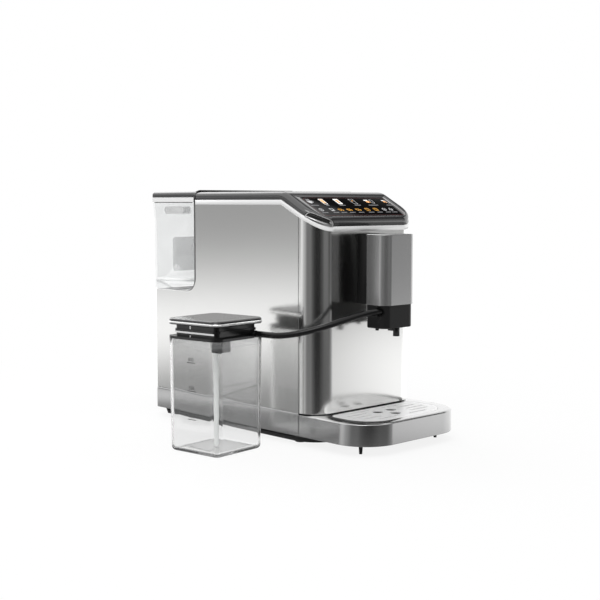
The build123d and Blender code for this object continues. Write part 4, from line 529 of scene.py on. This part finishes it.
# %% Clear plastics
def clear_plastic(name, tint, edge_tint, milky, ior=1.0):
    """Clear plastic with grey edges and a share of white haze, whose shadow stays pale."""
    material, tree = new_material(name)
    shader = node(tree, "ShaderNodeBsdfPrincipled", IOR=ior)
    shader.inputs["Roughness"].default_value = 0.0
    shader.inputs["Transmission Weight"].default_value = 1.0
    shader.inputs["Coat Weight"].default_value = 1.0
    shader.inputs["Coat IOR"].default_value = 1.4
    turned = node(tree, "ShaderNodeLayerWeight", Blend=0.35)
    wall = ramp(tree, turned.outputs["Facing"], [(0.45, 0.0), (1.0, 1.0)])
    shown = node(tree, "ShaderNodeMix", data_type="RGBA")
    shown.inputs["A"].default_value = (*tint, 1)
    shown.inputs["B"].default_value = (*edge_tint, 1)
    tree.links.new(wall, shown.inputs["Factor"])
    tree.links.new(shown.outputs["Result"], shader.inputs["Base Color"])
    haze = node(tree, "ShaderNodeBsdfDiffuse", Color=(0.86, 0.87, 0.87, 1))
    with_haze = node(tree, "ShaderNodeMixShader")
    where = node(tree, "ShaderNodeTexCoord")
    drift = node(tree, "ShaderNodeTexNoise", Scale=14.0, Detail=2.0)
    tree.links.new(where.outputs["Object"], drift.inputs["Vector"])
    spread = node(tree, "ShaderNodeMapRange")
    spread.inputs["To Min"].default_value = milky * 0.85
    spread.inputs["To Max"].default_value = milky * 1.15
    tree.links.new(drift.outputs["Fac"], spread.inputs["Value"])
    tree.links.new(spread.outputs[0], with_haze.inputs[0])
    tree.links.new(shader.outputs[0], with_haze.inputs[1])
    tree.links.new(haze.outputs[0], with_haze.inputs[2])
    paths_here = node(tree, "ShaderNodeLightPath")
    passing = node(tree, "ShaderNodeBsdfTransparent", Color=(0.93, 0.94, 0.94, 1))
    with_shadow = node(tree, "ShaderNodeMixShader")
    soft_rays = math_node(
        tree, "MAXIMUM", paths_here.outputs["Is Shadow Ray"], paths_here.outputs["Is Diffuse Ray"]
    )
    tree.links.new(soft_rays, with_shadow.inputs[0])
    tree.links.new(with_haze.outputs[0], with_shadow.inputs[1])
    tree.links.new(passing.outputs[0], with_shadow.inputs[2])
    out = node(tree, "ShaderNodeOutputMaterial")
    tree.links.new(with_shadow.outputs[0], out.inputs[0])
    return material


def frosted_plastic(name, tint, milky):
    """Frosted plastic that lets light straight through and adds a little white of its own."""
    material, tree = new_material(name)
    through = node(tree, "ShaderNodeBsdfTransparent", Color=(*tint, 1))
    haze = node(tree, "ShaderNodeBsdfPrincipled", Roughness=0.45)
    haze.inputs["Base Color"].default_value = (0.80, 0.80, 0.80, 1)
    where = node(tree, "ShaderNodeTexCoord")
    drift = node(tree, "ShaderNodeTexNoise", Scale=14.0, Detail=2.0)
    tree.links.new(where.outputs["Object"], drift.inputs["Vector"])
    spread = node(tree, "ShaderNodeMapRange")
    spread.inputs["To Min"].default_value = milky * 0.9
    spread.inputs["To Max"].default_value = milky * 1.1
    tree.links.new(drift.outputs["Fac"], spread.inputs["Value"])
    mixed = node(tree, "ShaderNodeMixShader")
    tree.links.new(spread.outputs[0], mixed.inputs[0])
    tree.links.new(through.outputs[0], mixed.inputs[1])
    tree.links.new(haze.outputs[0], mixed.inputs[2])
    out = node(tree, "ShaderNodeOutputMaterial")
    tree.links.new(mixed.outputs[0], out.inputs[0])
    return material


jug_plastic = clear_plastic("clear_jug", (0.960, 0.960, 0.960), (0.16, 0.16, 0.16), 0.02, ior=1.25)
tank_plastic = clear_plastic("clear_tank", (0.975, 0.98, 0.98), (0.35, 0.36, 0.36), 0.06)
gasket_clear = frosted_plastic("clear_gasket", (0.97, 0.97, 0.97), 0.06)
frosted_grey = frosted_plastic("frosted_grey", (0.90, 0.90, 0.90), 0.16)

# %% Each CAD node gets its finish
FINISH_OF = {
    "side_panel_left": silver,
    "side_panel_right": silver,
    "front_shell": silver,
    "service_door": silver,
    "bin_front": silver,
    "tray_surround": silver_base,
    "base_skirt": silver_base,
    "trim_strip": bright_trim,
    "button_bezel": steel,
    "milk_lid_band": chrome_band,
    "tank_lid_strip": bright_trim,
    "top_cover": dark_cover,
    "tank_liner": black_gloss,
    "tank_lid": dark_cover,
    "hopper_lid": black_gloss,
    "milk_lid_top": black_gloss,
    "display_glass": glass_panel,
    "display_board": board_green,
    "control_board": board_green,
    "power_button": black_gloss,
    "spout_cover": spout_silver,
    "rubber_feet": rubber,
    "dock_seal": rubber,
    "housing_screws": steel,
    "hopper_hinge": steel,
    "tank_lid_pins": steel,
    "door_hinge": steel,
    "upper_burr": steel,
    "lower_burr": steel,
    "drip_grate": grate_steel,
    "coffee_nozzles": black_gloss,
    "tank_shell": tank_plastic,
    "tank_valve": grey_plastic,
    "tank_grips": frosted_grey,
    "milk_jug": jug_plastic,
    "milk_lid_neck": neck_black,
    "lid_gasket": gasket_clear,
    "dip_tube": white_tube,
    "hose_nipple": neck_black,
    "grinder_motor": steel,
    "water_pump": cast_aluminium,
    "thermoblock": cast_aluminium,
    "milk_hose_jug_end": hose_rubber,
    "milk_hose_spout_end": hose_rubber,
}
for name, solid in nodes.items():
    solid.data.materials.clear()
    solid.data.materials.append(FINISH_OF.get(name, black_matte))
for tube in (hose_jug, hose_spout):
    tube.data.materials.clear()
    tube.data.materials.append(hose_rubber)
print("finishes given to", len(nodes), "nodes")

# %% [markdown]
# ## Marks on the display
# The display is one dark pane with six lit drinks above a row of nine small signs, each with a grey
# caption under it. They are drawn flat, in millimetres, from ovals and plates that are cut, widened and
# hollowed, then laid on the pane together, a hair proud of it. The signs are this lesson's own, and the
# captions are plain bars.

# %% The display's own plane
GLASS_SLOPE = math.radians(28.2)
GLASS_THICKNESS = 1.6
MARK_PROUD = 0.06
MARK_THICK = 0.05
glass_low, glass_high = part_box("display_glass")
glass_normal = Vector((0, -math.sin(GLASS_SLOPE), math.cos(GLASS_SLOPE)))
glass_up = Vector((0, math.cos(GLASS_SLOPE), math.sin(GLASS_SLOPE)))
glass_middle = (Vector(glass_low) + Vector(glass_high)) / 2
glass_face = glass_middle + glass_normal * (GLASS_THICKNESS / 2 + MARK_PROUD) * MM
print("display face at", [round(c, 4) for c in glass_face])


def plane_frame(origin, along, upward):
    """The matrix that lays millimetres drawn flat onto a face of the machine, in metres."""
    out = along.cross(upward)
    turn = Matrix((along, upward, out)).transposed().to_4x4()
    return Matrix.Translation(origin) @ turn @ Matrix.Scale(MM, 4)


# %% Flat shapes to draw with
def flat_oval(at, across, deep):
    """A filled oval."""
    clear_selection()
    bpy.ops.mesh.primitive_circle_add(vertices=24, radius=0.5, fill_type="NGON", location=(*at, 0))
    oval = bpy.context.object
    oval.scale = (across, deep, 1)
    settle(oval)
    return oval


def flat_plate(at, across, deep, widen=1.0, rounding=0.3):
    """A filled plate, its upper edge widened, its corners rounded."""
    clear_selection()
    bpy.ops.mesh.primitive_plane_add(size=1, location=(*at, 0))
    plate = bpy.context.object
    plate.scale = (across, deep, 1)
    settle(plate)
    bpy.ops.object.mode_set(mode="EDIT")
    bpy.ops.mesh.select_all(action="DESELECT")
    bpy.ops.object.mode_set(mode="OBJECT")
    for vertex in plate.data.vertices:
        vertex.select = vertex.co.y > at[1]
    bpy.ops.object.mode_set(mode="EDIT")
    bpy.ops.transform.resize(value=(widen, 1, 1))
    bpy.ops.mesh.select_all(action="SELECT")
    bpy.ops.mesh.bevel(offset=rounding, segments=3, affect="VERTICES")
    bpy.ops.object.mode_set(mode="OBJECT")
    return plate


def keep_side(flat, at, toward):
    """Cut a flat shape along a line and keep the side that it looks toward."""
    pick(flat)
    bpy.ops.object.mode_set(mode="EDIT")
    bpy.ops.mesh.select_all(action="SELECT")
    bpy.ops.mesh.bisect(plane_co=(*at, 0), plane_no=(*toward, 0), clear_inner=True)
    bpy.ops.object.mode_set(mode="OBJECT")
    return flat


def hollow(flat, wall):
    """Keep only a rim of a flat shape."""
    pick(flat)
    bpy.ops.object.mode_set(mode="EDIT")
    bpy.ops.mesh.select_all(action="SELECT")
    bpy.ops.mesh.inset(thickness=wall)
    bpy.ops.mesh.delete(type="FACE")
    bpy.ops.object.mode_set(mode="OBJECT")
    return flat


def lay_down(flats, name, face, finish_of_it, body):
    """Join flat shapes, give them a little thickness and lay them on a face."""
    mark = fuse(flats, name)
    mark.matrix_world = face
    settle(mark)
    thick = mark.modifiers.new("thick", "SOLIDIFY")
    thick.thickness = MARK_THICK * MM
    thick.offset = -1
    bpy.ops.object.modifier_apply(modifier="thick")
    mark.data.materials.clear()
    mark.data.materials.append(finish_of_it)
    ride(mark, body)
    print(name, "faces", len(mark.data.polygons))


# %% Lit finishes for the marks
def lit(name, color, strength):
    """A printed colour that also glows a little, as lit from behind."""
    material, tree = new_material(name)
    shader = node(tree, "ShaderNodeBsdfPrincipled", Roughness=0.4)
    where = node(tree, "ShaderNodeTexCoord")
    cloud = node(tree, "ShaderNodeTexNoise", Scale=220.0, Detail=2.0)
    tree.links.new(where.outputs["Object"], cloud.inputs["Vector"])
    tone = node(tree, "ShaderNodeMix", data_type="RGBA")
    tone.inputs["A"].default_value = (*[c * 0.85 for c in color], 1)
    tone.inputs["B"].default_value = (*color, 1)
    tree.links.new(cloud.outputs["Fac"], tone.inputs["Factor"])
    tree.links.new(tone.outputs["Result"], shader.inputs["Base Color"])
    tree.links.new(tone.outputs["Result"], shader.inputs["Emission Color"])
    shader.inputs["Emission Strength"].default_value = strength
    out = node(tree, "ShaderNodeOutputMaterial")
    tree.links.new(shader.outputs[0], out.inputs[0])
    return material


lit_white = lit("lit_white", (0.92, 0.90, 0.87), 0.55)
lit_orange = lit("lit_orange", (0.90, 0.44, 0.16), 0.55)
lit_amber = lit("lit_amber", (0.58, 0.27, 0.015), 0.50)
lit_grey = lit("lit_grey", (0.52, 0.52, 0.53), 0.35)
dim_grey = lit("dim_grey", (0.20, 0.20, 0.21), 0.12)
dark_red = lit("dark_red_line", (0.10, 0.012, 0.012), 0.10)

# %% Six drinks
TOP_ROW = 13.7
CUP_DEPTH_SHARE = 1.6
HANDLE_TALL = 4.6
HANDLE_DROP = 2.6
HANDLE_SUNK = 0.3
LINE = 0.8
DRINK_CAPTION_LEVEL = 3.6
DRINK_CAPTIONS = ((-72.0, 14), (-48.4, 6), (-20.6, 11), (8.8, 12), (40.0, 19), (73.0, 13))
white_marks, orange_marks, grey_marks, dim_marks, amber_marks = [], [], [], [], []


def cup(middle, sort, wide, deep, handle=4.0):
    """A cup with a round bottom and a handle."""
    brim = TOP_ROW + deep / 4
    bowl = flat_oval((middle, brim), wide, deep * CUP_DEPTH_SHARE)
    sort.append(keep_side(bowl, (middle, brim), (0, -1)))
    ear = hollow(flat_oval((middle + wide / 2, brim - HANDLE_DROP), handle, HANDLE_TALL), LINE)
    sort.append(keep_side(ear, (middle + wide / 2 - HANDLE_SUNK, brim), (1, 0)))


def glass(middle, wide, deep, wall, sort, filling=None):
    """A straight glass as a rim, with or without something lighter in it."""
    sort.append(hollow(flat_plate((middle, TOP_ROW), wide, deep, 1.2, 0.6), wall))
    if filling is not None:
        inner_wide, inner_deep = wide - 2 * wall - 0.6, deep - 2 * wall - 2.4
        filling.append(flat_plate((middle, TOP_ROW + 0.8), inner_wide, inner_deep, 1.15))


cup(-73.0, grey_marks, 8.4, 8.8)
for steam in (-75.4, -73.0, -70.6):
    grey_marks.append(flat_plate((steam, TOP_ROW + 5.0), 0.9, 3.8))
glass(-48.4, 6.8, 14.6, 1.0, white_marks, orange_marks)
glass(-20.6, 7.8, 14.2, 2.2, white_marks, orange_marks)
glass(8.8, 7.2, 14.0, 0.7, grey_marks)
orange_marks.append(flat_plate((8.8, TOP_ROW + 2.0), 2.8, 1.6))
cup(37.0, orange_marks, 6.0, 6.4, 3.0)
white_marks.append(flat_plate((36.6, TOP_ROW + 3.6), 7.4, 2.4))
glass(46.0, 5.0, 10.0, 0.7, grey_marks)
cup(71.0, orange_marks, 4.6, 4.6, 2.4)
white_marks.append(flat_plate((70.6, TOP_ROW + 3.0), 5.6, 1.8))
glass(77.6, 4.4, 9.0, 0.7, grey_marks)
for middle, wide in DRINK_CAPTIONS:
    dim_marks.append(flat_plate((middle, DRINK_CAPTION_LEVEL), wide, 1.9, 1.0, 0.6))

# %% Nine signs
LOW_ROW = -8.4
CLOCK, BASIN, BEANS, CARDS, DIAL, BARS = -71.0, -51.0, (-36.2, -20.2, -3.1), (16.3, 33.0), 50.0, 63.2
grey_marks.append(hollow(flat_oval((CLOCK, LOW_ROW), 7.4, 7.4), LINE))
grey_marks.append(flat_plate((CLOCK, LOW_ROW), 1.2, 4.4))
grey_marks.append(hollow(flat_plate((BASIN, LOW_ROW), 6.0, 7.0, 1.3, 0.6), LINE))
grey_marks.append(flat_plate((BASIN, LOW_ROW - 1.2), 3.0, 2.0))
for step, middle in enumerate(BEANS):
    bean = keep_side(flat_oval((middle, LOW_ROW + 2), 7.2, 10.0), (middle, LOW_ROW + 2), (0, -1))
    amber_marks.append(hollow(bean, 1.1 + 0.3 * (step % 2)))
    amber_marks.append(flat_plate((middle + 4.6, LOW_ROW - 1.6), 1.6 + 0.3 * step, 3.0))
for middle in CARDS:
    amber_marks.append(hollow(flat_plate((middle, LOW_ROW), 7.4, 7.6, 1.0, 1.2), LINE))
    for line in (-1.5, 1.5):
        amber_marks.append(flat_plate((middle, LOW_ROW + line), 4.2, 1.0, 1.0, 0.2))
grey_marks.append(hollow(flat_oval((DIAL, LOW_ROW), 7.2, 7.2), 1.0))
grey_marks.append(flat_oval((DIAL, LOW_ROW), 2.0, 2.0))
for across, tall in ((60.4, 4.4), (BARS, 8.0), (66.0, 5.0)):
    grey_marks.append(flat_plate((across, LOW_ROW), 1.2, tall))
for middle in (CLOCK, BASIN, *BEANS, *CARDS, DIAL, BARS):
    dim_marks.append(flat_plate((middle + 1.0, LOW_ROW - 7.6), 10.5, 1.7, 1.0, 0.5))

# %% A dark red line runs round the pane
OUTLINE_WIDE, OUTLINE_DEEP, OUTLINE_CORNER, OUTLINE_LINE = 160.5, 48.2, 7.5, 0.45
outline = hollow(flat_plate((0, 0), OUTLINE_WIDE, OUTLINE_DEEP, 1.0, OUTLINE_CORNER), OUTLINE_LINE)

# %% Lay the marks on the pane
on_glass = plane_frame(glass_face, Vector((1, 0, 0)), glass_up)
for flats, name, glow in (
    (white_marks, "display_white_marks", lit_white),
    (orange_marks, "display_orange_marks", lit_orange),
    (amber_marks, "display_amber_marks", lit_amber),
    (grey_marks, "display_grey_marks", lit_grey),
    (dim_marks, "display_captions", dim_grey),
    ([outline], "display_outline", dark_red),
):
    lay_down(flats, name, on_glass, glow, "machine")

# %% [markdown]
# ## Marks on the jug
# Three fill lines with plain numbers are printed on the jug's left side, and two white ticks stand on the
# neck above them. The numbers are text at first, because that is how lettering starts, and mesh before
# they are placed. A bright strip on the left face of the neck's ridge is a painted highlight.

# %% Jug marks
JUG_TURN = math.radians(6.5)
JUG_MIDDLE = (-185.0, 62.0)
JUG_HALF = 45.0
JUG_HEIGHT = 144.5
JUG_FOOT_HALF = 43.0
NECK_HALF = 36.8
FILL_LINES = ((119.0, "800"), (83.0, "550"), (47.0, "300"))
jug_left = Vector((-math.cos(JUG_TURN), -math.sin(JUG_TURN), 0))
jug_along = Vector((math.sin(JUG_TURN), -math.cos(JUG_TURN), 0))


def jug_face_frame(half, height):
    """A frame on the left side of the jug or of its neck, at a height in millimetres."""
    middle = place(*JUG_MIDDLE, height)
    return plane_frame(middle + jug_left * (half + MARK_PROUD) * MM, jug_along, Vector((0, 0, 1)))


def flat_text(words, at, size):
    """Generic lettering as a flat mesh."""
    clear_selection()
    bpy.ops.object.text_add(location=(*at, 0))
    writing = bpy.context.object
    writing.data.body = words
    writing.data.size = size
    writing.data.align_x = "CENTER"
    writing.data.resolution_u = 3
    bpy.ops.object.convert(target="MESH")
    written = bpy.context.object
    settle(written)
    return written


mark_ink = finish("mark_ink", (0.05, 0.05, 0.05), roughness=0.5, shade=0.1)
tick_ink = finish("tick_ink", (0.85, 0.85, 0.85), roughness=0.4, shade=0.05)
for height, words in FILL_LINES:
    half_here = JUG_FOOT_HALF + (JUG_HALF - JUG_FOOT_HALF) * height / JUG_HEIGHT
    lay_down(
        [flat_plate((0, -2.6), 14.0, 0.9, 1.0, 0.2), flat_text(words, (0, -0.6), 6.4)],
        "fill_line_" + words, jug_face_frame(half_here, height), mark_ink, "machine",
    )

# %% White ticks, and a painted highlight on the neck's ridge
RIDGE_REACH = 1.6
RIDGE_HEIGHT = 152.9
ticks = []
for height, tall in ((159.3, 4.2), (147.4, 4.0)):
    ticks.append(flat_plate((-8.7, height), 2.0, tall, 1.0, 0.3))
lay_down(ticks, "neck_ticks", jug_face_frame(NECK_HALF, 0.0), tick_ink, "milk_lid")
# The bright strip is a painted highlight: a plate on the ridge's left face only, standing for the room
# mirrored there.
ridge_painted_highlight = flat_plate((0, RIDGE_HEIGHT), 68.0, 2.2, 1.0, 0.6)
ridge_face = jug_face_frame(NECK_HALF + RIDGE_REACH, 0.0)
lay_down([ridge_painted_highlight], "neck_ridge_painted_highlight", ridge_face, bright_trim, "milk_lid")

# %% [markdown]
# ## Painted shadow under the tank's lid
# A thin dark line of shade shows in the gap between the lid's bright strip and the clear tank, on both
# sides.
# It is so thin that a flat dark plate, laid on each side of the tank just under the strip, paints it.

# %% Painted shadow lines
SHADOW_LINE_TALL = 1.1
SHADOW_LINE_FRONT_GAP = 2.0
SHADOW_LINE_CORNER = 7.0
strip_low, strip_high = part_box("tank_lid_strip")
tank_low, tank_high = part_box("tank_shell")
# A flat dark grey that paints the shadow in the gap under the lid's strip.
painted_shadow_grey = finish("painted_shadow_grey", (0.07, 0.07, 0.07), roughness=0.5, shade=0.05)
painted_shadow_front = strip_low[1] + SHADOW_LINE_FRONT_GAP * MM
painted_shadow_rear = tank_high[1] - SHADOW_LINE_CORNER * MM
painted_shadow_long = (painted_shadow_rear - painted_shadow_front) / MM
for name, x, toward in (
    ("painted_shadow_line_left", tank_low[0] - MARK_PROUD * MM, Vector((0, -1, 0))),
    ("painted_shadow_line_right", tank_high[0] + MARK_PROUD * MM, Vector((0, 1, 0))),
):
    painted_shadow_middle = Vector((x, (painted_shadow_front + painted_shadow_rear) / 2, strip_low[2] - SHADOW_LINE_TALL / 2 * MM))
    painted_shadow_face = plane_frame(painted_shadow_middle, toward, Vector((0, 0, 1)))
    painted_shadow_line = flat_plate((0, 0), painted_shadow_long, SHADOW_LINE_TALL, 1.0, 0.2)
    lay_down([painted_shadow_line], name, painted_shadow_face, painted_shadow_grey, "water_tank")

# %% [markdown]
# ## Softened edges
# Moulded and pressed pieces have no razor edges. A weld joins the loose triangles of every piece. On those
# listed here, a small bevel breaks each sharp edge so that it catches the light. Weighted normals keep the
# big faces flat.

# %% Softened edges on the CAD nodes
WELD_DISTANCE = 0.000002
SHARP_ANGLE = math.radians(35)
HOSE_NODES = ("milk_hose_jug_end", "milk_hose_spout_end")
EDGE_MM = {
    "side_panel_left": 0.3,
    "side_panel_right": 0.3,
    "front_shell": 0.3,
    "service_door": 0.3,
    "bin_front": 0.3,
    "tray_surround": 0.5,
    "base_skirt": 1.0,
    "tank_lid_strip": 0.3,
    "spout_cover": 0.3,
    "frother_block": 0.5,
    "milk_lid_neck": 0.4,
    "milk_lid_top": 0.3,
    "drip_grate": 0.2,
}
for name, solid in nodes.items():
    if name in HOSE_NODES:
        continue
    pick(solid)
    weld = solid.modifiers.new("weld", "WELD")
    weld.merge_threshold = WELD_DISTANCE
    if name in EDGE_MM:
        edge = solid.modifiers.new("edge", "BEVEL")
        edge.width = EDGE_MM[name] * MM
        edge.segments = 2
        edge.limit_method = "ANGLE"
        edge.angle_limit = SHARP_ANGLE
    normals = solid.modifiers.new("normals", "WEIGHTED_NORMAL")
    normals.keep_sharp = True
    for polygon in solid.data.polygons:
        polygon.use_smooth = True
